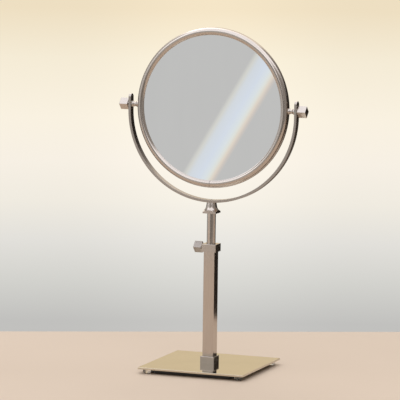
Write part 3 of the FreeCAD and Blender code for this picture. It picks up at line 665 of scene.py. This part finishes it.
cap_half = cap_high.x
corner_radius = cap_half * math.sqrt(2) + TO_MILL_AWAY


def arc_rings(first, last, radius, steps=20):
    """Rings along a hollow arc between two rings, its centre on the outside of the piece."""
    a, b = Vector((first[0], first[1])), Vector((last[0], last[1]))
    chord = b - a
    out = Vector((-chord.y, chord.x)).normalized()
    out = out if out.y > 0 else -out
    middle = (a + b) / 2 + out * math.sqrt(radius**2 - (chord.length / 2) ** 2)
    start_angle = math.atan2((a - middle).y, (a - middle).x)
    sweep = math.asin(chord.length / 2 / radius) * 2
    turn = 1 if (a - middle).cross(b - middle) > 0 else -1
    angles = [start_angle + turn * sweep * i / steps for i in range(1, steps + 1)]
    return [(middle.x + radius * math.cos(t), middle.y + radius * math.sin(t)) for t in angles]


seat_radius = rod_radius + SEAT_SLACK
cap_rings = [(rod_high.z - cap_low.z, seat_radius), (0, seat_radius),
             (0, corner_radius), (FLANGE, corner_radius)]
cap_rings += arc_rings((FLANGE, corner_radius), (WAIST_HEIGHT, WAIST_RADIUS), FLARE_RADIUS)
cap_rings += [(cap_high.z - cap_low.z, NECK_TOP_RADIUS)]
cap = turned("trumpet_cap", cap_rings, at=(0, 0, cap_low.z), sides=128)
for side in (Vector((1, 0, 0)), Vector((-1, 0, 0)), Vector((0, 1, 0)), Vector((0, -1, 0))):
    pick(cap, "faces", lambda face: True)
    bpy.ops.mesh.bisect(plane_co=side * cap_half, plane_no=side, use_fill=True, clear_outer=True)
close(cap)
soften(cap, CAP_EASE, segments=2, angle=35)
cap_satin = satin_nickel("satin_nickel_cap", "roundz", gloss=(0.20, 0.28))
settle(cap, "mast", "satin_nickel", cap_satin, "flared_cap", angle=40)

# %% [markdown]
# ## The yoke
# The yoke is a flat bar bent to a U, its ends rounded like a tongue. A bevelled curve could follow the U,
# but a mesh gives exact ends to drill. Spinning a rectangle half a turn about the bend's centre makes the
# bend, and extruding both ends upwards makes the arms. A bevel almost as wide as half the bar rounds the
# ends, and a narrow one eases all long edges.

# %% Model the yoke
YOKE_THICK, YOKE_EASE = 3.0 * MM, 0.3 * MM
END_FLAT = 0.05 * MM  # half of what stays flat at the arms' ends
BUSH_HOLE = 3.0 * MM  # radius of the holes for the pivots' bushes

yoke_low, yoke_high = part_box("yoke")
yoke_outer = yoke_high.x
yoke_width = yoke_high.y - yoke_low.y
bend_centre = Vector((0, 0, yoke_low.z + yoke_outer))
arm_foot = bend_centre - Vector((yoke_outer - YOKE_THICK / 2, 0, 0))
yoke = start("bent_yoke", "plane", size=1, location=arm_foot)
pick(yoke, "verts", lambda v: True)
bpy.ops.transform.resize(value=(YOKE_THICK, yoke_width, 1), center_override=arm_foot)
bpy.ops.mesh.spin(steps=144, angle=math.pi, center=bend_centre, axis=(0, 1, 0))
close(yoke)
pick(yoke, "faces", lambda face: abs(face.normal.z) > 0.99
     and abs(centre_of(face).z - bend_centre.z) < 0.01 * MM)
bpy.ops.mesh.extrude_region_move(TRANSFORM_OT_translate={"value": (0, 0, yoke_high.z - bend_centre.z)})
close(yoke)
pick(yoke, "edges", lambda edge: all(abs(v.co.z - yoke_high.z) < 0.01 * MM for v in edge.verts)
     and abs(edge.verts[0].co.y - edge.verts[1].co.y) < 0.01 * MM)
bpy.ops.mesh.bevel(offset=yoke_width / 2 - END_FLAT, segments=14, affect="EDGES")
close(yoke)
soften(yoke, YOKE_EASE, angle=40)
drill(yoke, mirror_centre, "X", BUSH_HOLE, 2 * yoke_outer + THROUGH)
yoke_satin = satin_nickel("satin_nickel_yoke", "roundy", centre=bend_centre, gloss=(0.22, 0.30),
                          tone_scale=0.85)
settle(yoke, "mast", "satin_nickel", yoke_satin, "yoke")

# %% [markdown]
# ## The rim
# The rim is a rolled ring of sheet metal with an oval section, open towards the glass, and its two ends
# meet in a butt seam at the bottom. A torus would have no wall, no mouth and no seam, so its section is
# drawn once at the seam: two ovals, one wall apart, are cut at the mouth and bridged. Spinning that strip
# almost a full turn leaves the seam as a real gap. The whole head leans back a little, so its pieces are
# modelled upright and tilted together.

# %% Model the rolled rim
HEAD_TILT = math.radians(-1.5)
RIM_OUTER, RIM_FACE, RIM_DEPTH, RIM_WALL, RIM_MOUTH = (x * MM for x in (91.1, 9.6, 14.0, 1.0, 8.0))
SEAM_GAP, RIM_EASE = 0.24 * MM, 0.14 * MM
section_radius = RIM_OUTER - RIM_FACE / 2


def lean(piece):
    """Tilts a piece of the mirror head about the pivots' axis."""
    hold(piece)
    tilt = Matrix.Translation(mirror_centre) @ Matrix.Rotation(HEAD_TILT, 4, "X")
    piece.matrix_world = tilt @ Matrix.Translation(-mirror_centre)
    bpy.ops.object.transform_apply(location=True, rotation=True, scale=True)
    return piece


def oval(name, inset, sides=88):
    """The rim's oval outline at the seam, shrunk by an inset, cut and opened at the mouth."""
    centre = mirror_centre + Vector((SEAM_GAP / 2, 0, -section_radius))
    outline = start(name, "circle", vertices=sides, radius=1, location=centre, rotation=TURN["X"])
    pick(outline, "verts", lambda v: True)
    bpy.ops.transform.resize(value=(1, RIM_DEPTH / 2 - inset, RIM_FACE / 2 - inset), center_override=centre)
    for side in (-1, 1):
        pick(outline, "verts", lambda v: True)
        bpy.ops.mesh.bisect(plane_co=(0, side * RIM_MOUTH / 2, 0), plane_no=(0, 1, 0))
    pick(outline, "verts", lambda v: v.co.z > centre.z and abs(v.co.y) < RIM_MOUTH / 2 - 0.001 * MM)
    bpy.ops.mesh.delete(type="VERT")
    hold(outline)
    return outline


rim = oval("rolled_rim", 0.0)
inner_wall = oval("inner_wall", RIM_WALL)
hold(rim)
inner_wall.select_set(True)
bpy.ops.object.join()
pick(rim, "edges", lambda edge: True)
bpy.ops.mesh.bridge_edge_loops()
bpy.ops.mesh.select_all(action="SELECT")
seam_angle = SEAM_GAP / RIM_OUTER
bpy.ops.mesh.spin(steps=300, angle=2 * math.pi - seam_angle, center=mirror_centre, axis=(0, 1, 0))
close(rim)
print("rim spun to", [round(max(abs(v.co[i]) for v in rim.data.vertices), 4) for i in range(3)])
soften(rim, RIM_EASE, segments=2, angle=50)
lean(rim)
rim_satin = satin_nickel("satin_nickel_rim", "roundy", centre=mirror_centre, gloss=(0.17, 0.25))
settle(rim, "mirror_head", "satin_nickel", rim_satin, "mirror_rim")

# %% [markdown]
# ## The two glasses
# The front glass is flat and the rear one is dished, which magnifies. A flat disc could be a cylinder, but
# the lathe also makes the ground bevel round its edge. The dish is a shallow part of a sphere with a flat
# border, so its rings follow a formula, evenly spaced from the border to the middle.

# %% Model the glasses
GLASS_RADIUS, GLASS_THICK, GLASS_EDGE = 84.5 * MM, 2.0 * MM, 0.3 * MM
front = -RIM_MOUTH / 2
flat_glass = turned("flat_mirror_glass", [
    (front, GLASS_RADIUS - GLASS_EDGE), (front + GLASS_EDGE, GLASS_RADIUS),
    (front + GLASS_THICK - GLASS_EDGE, GLASS_RADIUS), (front + GLASS_THICK, GLASS_RADIUS - GLASS_EDGE),
], axis="Y", at=mirror_centre, sides=192)
lean(flat_glass)

DISH_RIM, DISH_DEPTH = 82.6 * MM, 3.4 * MM
DISH_STEPS, DISH_MIDDLE = 30, 0.4 * MM  # how many rings, and the radius of the one in the middle
dish_sphere = (DISH_RIM**2 + DISH_DEPTH**2) / (2 * DISH_DEPTH)
back = RIM_MOUTH / 2


def dish_at(radius):
    """How far the dish lies below its border at a radius."""
    return DISH_DEPTH - (dish_sphere - math.sqrt(dish_sphere**2 - radius**2))


dish_radii = [DISH_RIM * i / DISH_STEPS for i in range(DISH_STEPS, 0, -1)] + [DISH_MIDDLE]
dish_rings = [(back - GLASS_THICK - dish_at(r), r) for r in reversed(dish_radii)]
dish_rings += [
    (back - GLASS_THICK, GLASS_RADIUS - GLASS_EDGE), (back - GLASS_THICK + GLASS_EDGE, GLASS_RADIUS),
    (back - GLASS_EDGE, GLASS_RADIUS), (back, GLASS_RADIUS - GLASS_EDGE)]
dish_rings += [(back - dish_at(r), r) for r in dish_radii]
dished_glass = turned("magnifying_mirror_glass", dish_rings, axis="Y", at=mirror_centre, sides=192)
lean(dished_glass)

# %% [markdown]
# A mirror is a clear sheet with silver behind it. A glass shader over a silver one would be true, but it
# renders slowly and at this size the eye only sees the silver. So the faces are a nearly perfect metal, a
# trace cool as float glass is, with the faintest wiping marks. The ground edge is matt and pale.

# %% Mirror glass
def mirror_glass(name):
    finish, tree, shader = blank(name, Metallic=1.0)
    place = node(tree, "TexCoord").outputs["Object"]
    smears = noise(tree, stretched(tree, place, (1.0, 1.0, 0.25)), 35, detail=5, roughness=0.6)
    feed(tree, shader,
         Base_Color=ramp(tree, smears, [(0.3, (0.855, 0.870, 0.880)), (0.7, (0.875, 0.888, 0.898))]),
         Roughness=spread(tree, smears, 0.0, 0.025, 0.5, 0.8))
    return finish


def ground_edge(name):
    finish, tree, shader = blank(name, IOR=1.5, Specular_IOR_Level=0.5)
    grit = noise(tree, node(tree, "TexCoord").outputs["Object"], 2600, detail=3)
    feed(tree, shader,
         Base_Color=ramp(tree, grit, [(0.3, (0.62, 0.66, 0.63)), (0.7, (0.74, 0.78, 0.75))]),
         Roughness=spread(tree, grit, 0.35, 0.55))
    return finish


silvered = mirror_glass("mirror_glass")
edge_finish = ground_edge("ground_glass_edge")
for piece, node_name in ((flat_glass, "front_glass"), (dished_glass, "magnifying_glass")):
    settle(piece, "mirror_head", "silvered_glass", silvered, node_name)
    piece.data.materials.append(edge_finish)
    for face in piece.data.polygons:
        face.material_index = int(abs(face.normal.y) < 0.9)

# %% [markdown]
# ## The pivots
# Each side has a turned spool between the rim and the yoke, with a waist between two flanges. It is cut
# to the rim's curve, so that it sits on it. Each side has a name of its own, so both are turned from the
# same rings with a sign for the side, and a boolean with the rim's full oval ring cuts the seat.

# %% Model the pivot spools
def rim_envelope():
    """The closed oval ring that holds the rim, as a cutter."""
    centre = mirror_centre + Vector((section_radius, 0, 0))
    ring = start("rim_envelope", "circle", vertices=64, radius=1, location=centre, fill_type="NOTHING")
    pick(ring, "verts", lambda v: True)
    bpy.ops.transform.resize(value=(RIM_FACE / 2, RIM_DEPTH / 2, 1), center_override=centre)
    bpy.ops.mesh.spin(steps=256, angle=2 * math.pi, center=mirror_centre, axis=(0, 1, 0))
    return close(ring)


# distances from the mirror's centre and radii: the inner flange, the waist, the outer flange
SPOOL = [(x * MM, r * MM) for x, r in (
    (89.8, 3.15), (90.0, 3.4), (91.9, 3.4), (92.3, 3.25), (92.7, 2.95), (93.1, 2.7), (93.6, 2.6),
    (95.1, 2.6), (95.6, 2.7), (96.0, 2.95), (96.4, 3.25), (96.8, 3.4), (97.5, 3.4), (97.7, 3.2))]
envelope = rim_envelope()
spool_satin = satin_nickel("satin_nickel_spool", "roundx", centre=mirror_centre, gloss=(0.16, 0.24))
for hand, sign in (("left", -1), ("right", 1)):
    spool_rings = [(x * sign, r) for x, r in SPOOL]
    spool = turned(f"{hand}_spool", spool_rings, axis="X", at=mirror_centre, sides=72)
    modify(spool, "BOOLEAN", object=envelope, operation="DIFFERENCE", solver="EXACT")
    lean(spool)
    settle(spool, "mirror_head", "satin_nickel", spool_satin, f"{hand}_pivot_spool", angle=40)
bpy.data.objects.remove(envelope)

# %% [markdown]
# ## Two screws that show
# A countersunk socket screw holds the yoke to the rod, and a larger one holds the base together from
# below. Their threads lie inside other parts, so each screw is turned plain, and only its hexagon is
# cut, with a six-sided drill.

# %% Model the countersunk screws
HEAD_EDGE, HEAD_LAND = 0.12 * MM, 0.3 * MM
HEXAGON, HEXAGON_DEPTH = 0.77, 0.8  # against the thread's radius


def countersunk(name, head_end, inward, head_radius, thread_radius, length):
    """A screw along Z. head_end is the height of its head's face, inward +1 if it points up from there."""
    rings = [(0, head_radius - HEAD_EDGE), (HEAD_EDGE, head_radius), (HEAD_LAND, head_radius),
             (HEAD_LAND + head_radius - thread_radius, thread_radius), (length, thread_radius)]
    screw = turned(name, [(head_end + inward * d, r) for d, r in rings], sides=72)
    drill(screw, (0, 0, head_end), "Z", thread_radius * HEXAGON, 2 * thread_radius * HEXAGON_DEPTH, sides=6)
    return screw


yoke_screw_low, yoke_screw_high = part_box("yoke_screw")
base_screw_low, base_screw_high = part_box("base_screw")
head_screw = countersunk("yoke_socket_screw", yoke_screw_high.z, -1, yoke_screw_high.x, 2.0 * MM,
                         yoke_screw_high.z - yoke_screw_low.z)
foot_screw = countersunk("base_socket_screw", base_screw_low.z, 1, base_screw_high.x, 3.0 * MM,
                         base_screw_high.z - base_screw_low.z)
drill(yoke, (0, 0, yoke_screw_high.z - YOKE_THICK / 2), "Z", THREAD_HOLE, 2 * YOKE_THICK)

# %% [markdown]
# ## Finishes of the parts that hardly show
# Inside the stand and the head are zinc-plated steel, nylon, black-painted steel and black plastic.
# Their measured shapes are good enough where nobody looks, so they keep them and only get finishes. Zinc
# has a cool spangle, nylon a soft waxy body, paint a fine orange peel, and moulded plastic a slight grain.

# %% Zinc-plated steel, nylon, black paint and black plastic
def zinc_steel(name):
    finish, tree, shader = blank(name, Metallic=1.0)
    place = node(tree, "TexCoord").outputs["Object"]
    spangle = node(tree, "TexVoronoi", {"Vector": place, "Scale": 1400}).outputs["Distance"]
    cloud = noise(tree, place, 300, detail=3)
    feed(tree, shader,
         Base_Color=ramp(tree, cloud, [(0.3, (0.54, 0.56, 0.58)), (0.7, (0.66, 0.67, 0.68))]),
         Roughness=spread(tree, spangle, 0.26, 0.40),
         Normal=node(tree, "Bump", {"Strength": 0.1, "Distance": 0.01 * MM, "Height": cloud}).outputs[0])
    return finish


def white_nylon(name):
    finish, tree, shader = blank(name, Subsurface_Weight=0.15, Subsurface_Scale=0.6 * MM, IOR=1.53)
    place = node(tree, "TexCoord").outputs["Object"]
    flow = noise(tree, place, 500, detail=3)
    feed(tree, shader,
         Base_Color=ramp(tree, flow, [(0.3, (0.76, 0.73, 0.66)), (0.7, (0.84, 0.82, 0.76))]),
         Roughness=spread(tree, flow, 0.40, 0.55))
    return finish


def black_coat(name, low, high, gloss, scale, relief):
    """A dark paint or plastic: two near-black tones, a roughness range, and a grain."""
    finish, tree, shader = blank(name, IOR=1.5)
    place = node(tree, "TexCoord").outputs["Object"]
    peel = noise(tree, place, scale, detail=4)
    cloud = noise(tree, place, 40, detail=2)
    feed(tree, shader,
         Base_Color=ramp(tree, cloud, [(0.3, low), (0.7, high)]),
         Roughness=spread(tree, peel, *gloss),
         Normal=node(tree, "Bump", {"Strength": relief, "Distance": 0.03 * MM, "Height": peel}).outputs[0])
    return finish


zinc = zinc_steel("zinc_steel")
nylon = white_nylon("white_nylon")
paint = black_coat("black_paint", (0.018, 0.016, 0.015), (0.035, 0.031, 0.029), (0.38, 0.52), 900, 0.35)
plastic = black_coat("black_plastic", (0.020, 0.020, 0.021), (0.034, 0.034, 0.036), (0.45, 0.6), 1800, 0.2)
settle(head_screw, "mast", "zinc_steel", zinc, "yoke_screw")
settle(foot_screw, "stand", "zinc_steel", zinc, "base_screw")

# %% Dress every measured part that is still shown
washer_satin = satin_nickel("satin_nickel_washer", "roundx", centre=mirror_centre)
by_slot = {"satin_nickel": washer_satin, "zinc_steel": zinc, "nylon": nylon, "black_steel": paint,
           "black_plastic": plastic}
slot_of = {part["node"]: part["material_slot"] for part in frame["record"]["subparts"]}
for name, shown in sorted(frame["nodes"].items()):
    if shown.hide_render:
        continue
    shown.data.materials.clear()
    shown.data.materials.append(by_slot[slot_of[name]])
    print("kept as measured:", name, slot_of[name])

# %% [markdown]
# ## The table
# The mirror stands near the back of a pale table, whose straight far edge runs level behind it.
# An endless floor would fill the metal's lower reflections with one colour, so the table is a thin board
# that ends not far in front. Its edges are eased and its top is matt and faintly mottled. It is only a
# stage, so it isn't counted as part of the object.

# %% Table top
TABLE_WIDTH, TABLE_THICK, TABLE_EASE = 3.2, 0.03, 3 * MM
TABLE_BEHIND, TABLE_BEFORE = 0.262, 0.75  # from the column to the far and the near edge
TABLE_TURN = CAMERA_AZIMUTH + math.radians(4.5)  # turned until its far edge looks level
middle = toward_camera * (TABLE_BEFORE - TABLE_BEHIND) / 2 - UP * TABLE_THICK / 2
table = start("table_top", "cube", size=1, location=middle, rotation=(0, 0, TABLE_TURN),
              scale=(TABLE_WIDTH, TABLE_BEFORE + TABLE_BEHIND, TABLE_THICK))
soften(table, TABLE_EASE)


def matt_table(name):
    finish, tree, shader = blank(name, Specular_IOR_Level=0.25)
    place = node(tree, "TexCoord").outputs["Object"]
    mottle = noise(tree, place, 6, detail=3)
    grain = noise(tree, place, 400, detail=3)
    feed(tree, shader,
         Base_Color=ramp(tree, mottle, [(0.3, (0.568, 0.457, 0.357)), (0.7, (0.580, 0.468, 0.367))]),
         Roughness=spread(tree, grain, 0.5, 0.6))
    return finish


table.data.materials.append(matt_table("matt_table"))

# %% [markdown]
# ## The studio
# Metal shows its surroundings more than itself, so the studio is made of soft cards. A large white box
# hangs overhead and a long grey card stands in front and at the left. A dim one at the camera draws the
# dark stripe down the middle of the rod, and a small one at the right lights the stripe beside it.
# Behind is a cream backdrop, brighter above than low down, with a dim room on both sides of it, and a
# little light comes up from the floor. All the rest is dark, which gives the metal its black edges. Area
# lamps would do the same, but they would be in the way of other views. So the cards are patches of the
# world background with soft borders, which hide nothing when the camera walks round the object.

# %% Begin the world
world = bpy.data.worlds.new("studio")
bpy.context.scene.world = world
world.use_nodes = True
tree = world.node_tree
tree.nodes.clear()
sky = node(tree, "TexCoord").outputs["Generated"]


def along(direction):
    """The part of a world direction that points along another one."""
    product = node(tree, "VectorMath", {0: sky, 1: Vector(direction)}, operation="DOT_PRODUCT")
    return product.outputs["Value"]


def heading(azimuth, elevation):
    """A direction from degrees round from the front, to the right, and up."""
    a, e = math.radians(azimuth), math.radians(elevation)
    return Vector((math.sin(a) * math.cos(e), -math.cos(a) * math.cos(e), math.sin(e)))


def card(azimuth, elevation, half_width, half_height, soft, colour):
    """A soft rectangular card, its place and half sizes in degrees."""
    facing = heading(azimuth, elevation)
    sideways = heading(azimuth + 90, 0)
    upwards = heading(azimuth, elevation + 90)
    share = maths(tree, "GREATER_THAN", along(facing), 0.0)
    for axis, half in ((sideways, half_width), (upwards, half_height)):
        inner, outer = math.sin(math.radians(half)), math.sin(math.radians(half + soft))
        offset = maths(tree, "ABSOLUTE", along(axis))
        share = maths(tree, "MULTIPLY", share, spread(tree, offset, 1, 0, inner, outer, smooth=True))
    return mixed(tree, share, (0, 0, 0), colour)


CARDS = {
    "overhead": (-15, 78, 38, 38, 14, (1.42, 1.45, 1.54)),
    "front and left": (-62, 0, 48, 34, 10, (0.570, 0.566, 0.555)),
    "gap at the camera": (20, 0, 18, 34, 10, (0.20, 0.18, 0.16)),
    "right": (74, 0, 22, 40, 12, (0.34, 0.32, 0.30)),
    "low backdrop": (-164, 3, 8, 9, 8, (0.73, 0.605, 0.41)),
    "high backdrop": (-160, 40, 24, 18, 10, (1.05, 0.96, 0.84)),
    "room at the left": (-128, 32, 18, 22, 8, (0.26, 0.24, 0.22)),
    "room at the right": (138, 42, 22, 20, 10, (0.24, 0.22, 0.20)),
}
light = (0.026, 0.021, 0.017)  # what the dark parts of the room still give
for title, (azimuth, elevation, half_width, half_height, soft, colour) in CARDS.items():
    patch = card(azimuth, elevation, half_width, half_height, soft, colour)
    light = mixed(tree, 1.0, light, patch, "ADD")
    print(f"{title} card: {2 * half_width} by {2 * half_height} degrees, {colour}")

# %% Light from the floor of the room
FLOOR_LIGHT = (0.26, 0.23, 0.20)
FULL_BELOW, NONE_ABOVE = -0.50, -0.25  # heights of a direction, where -1 is straight down
ground = spread(tree, along(UP), 1, 0, FULL_BELOW, NONE_ABOVE, smooth=True)
light = mixed(tree, 1.0, light, mixed(tree, ground, (0, 0, 0), FLOOR_LIGHT), "ADD")

# %% [markdown]
# ## The streak in the glass
# A flat mirror shows one small patch of the studio, sharply. Here a band of light from a window crosses
# it, pale blue, with the orange fringe that a bevelled pane gives on one side. Painted on the glass it
# would stay there when the mirror turns, so it hangs in the studio, where only the right slope of the
# glass finds it. The glass sends the camera's own directions back by its slope, so the band is laid out
# in those returned directions: its distance from the middle of the glass, its width and its lean are
# angles as the camera sees them.

# %% Lay the streak into the world
STREAK_LEAN = math.radians(31)  # from upright, to the right at its top
STREAK_ASIDE = 0.00713  # from the middle of the glass, in radians to the right
STREAK_HALF = 0.00506  # half its width with both fringes, in radians
FADE_FROM, FADE_TO = math.radians(1.7), math.radians(2.6)  # from the middle of the glass, all round
mirror_normal = Matrix.Rotation(HEAD_TILT, 3, "X") @ Vector((0, -1, 0))


def bounced(direction):
    """A direction after the front glass reflects it."""
    return direction - mirror_normal * (2 * direction.dot(mirror_normal))


to_glass = (mirror_centre - camera.location).normalized()
frame_right = camera.rotation_quaternion @ Vector((1, 0, 0))
frame_up = camera.rotation_quaternion @ Vector((0, 1, 0))
across_streak = frame_right * math.cos(STREAK_LEAN) - frame_up * math.sin(STREAK_LEAN)
across_streak = (across_streak - to_glass * across_streak.dot(to_glass)).normalized()
print("the glass looks towards", [round(x, 3) for x in bounced(to_glass)])

offset = spread(tree, along(bounced(across_streak)), 0, 1, STREAK_ASIDE - STREAK_HALF,
                STREAK_ASIDE + STREAK_HALF)
band = ramp(tree, offset, [
    (0.00, (0, 0, 0)), (0.11, (0.145, 0.143, 0.105)), (0.24, (0.148, 0.194, 0.250)),
    (0.50, (0.155, 0.218, 0.317)), (0.67, (0.202, 0.258, 0.291)), (0.76, (0.242, 0.258, 0.210)),
    (0.85, (0.242, 0.155, 0.061)), (0.92, (0.110, 0.048, 0.005)), (1.00, (0, 0, 0))])
near_glass = spread(tree, along(bounced(to_glass)), 0, 1, math.cos(FADE_TO), math.cos(FADE_FROM),
                    smooth=True)
light = mixed(tree, 1.0, light, mixed(tree, near_glass, (0, 0, 0), band), "ADD")

# %% [markdown]
# ## The backdrop
# Behind the table hangs plain paper. Its colour ramp paints the light on it: cream at the top, nearly white
# lower down where the light is painted brightest, and painted shade that turns it grey at the table. A
# curved sheet would stand in the way of the cards and show its edges from other sides. So the paper is a
# colour ramp over the height of the world's direction, with a painted pool of light that makes it a little
# brighter in the middle, and only the rays that come straight from the camera see it.

# %% Give the camera its backdrop
BACKDROP_FOOT, BACKDROP_TOP = -0.165, -0.065  # heights of the directions that the ramp covers
GLOW, GLOW_HALF_WIDTH = 1.07, 0.045

backdrop_height = node(tree, "SeparateXYZ", {0: sky}).outputs["Z"]
# The ramp paints the light on the paper: brightest lower down, with painted shade going grey at the table.
backdrop = ramp(tree, spread(tree, backdrop_height, 0, 1, BACKDROP_FOOT, BACKDROP_TOP), [
    (0.05, (0.533, 0.530, 0.515)), (0.17, (0.648, 0.645, 0.613)), (0.29, (0.761, 0.745, 0.705)),
    (0.41, (0.871, 0.831, 0.748)), (0.53, (0.930, 0.871, 0.776)), (0.66, (0.951, 0.883, 0.753)),
    (0.84, (0.913, 0.834, 0.672)), (0.99, (0.855, 0.737, 0.539))])
# A painted pool of light makes the backdrop a little brighter in the middle.
aside = maths(tree, "ABSOLUTE", along(camera_right))
glow = spread(tree, aside, GLOW, 1.0, 0.0, GLOW_HALF_WIDTH, smooth=True)
backdrop = node(tree, "VectorMath", {0: backdrop, "Scale": glow}, operation="SCALE").outputs[0]
seen_by_camera = node(tree, "LightPath").outputs["Is Camera Ray"]
background = node(tree, "Background", {"Color": mixed(tree, seen_by_camera, light, backdrop)})
node(tree, "OutputWorld", {"Surface": background.outputs[0]})

# %% [markdown]
# ## The last look
# Rounding and bevelling can push a surface outwards, so each piece's size is printed as it is settled,
# and the last cell counts the faces in all the new pieces.

# %% Count the new pieces' faces and finish
print("faces in new pieces:", sum(mesh_faces.values()))
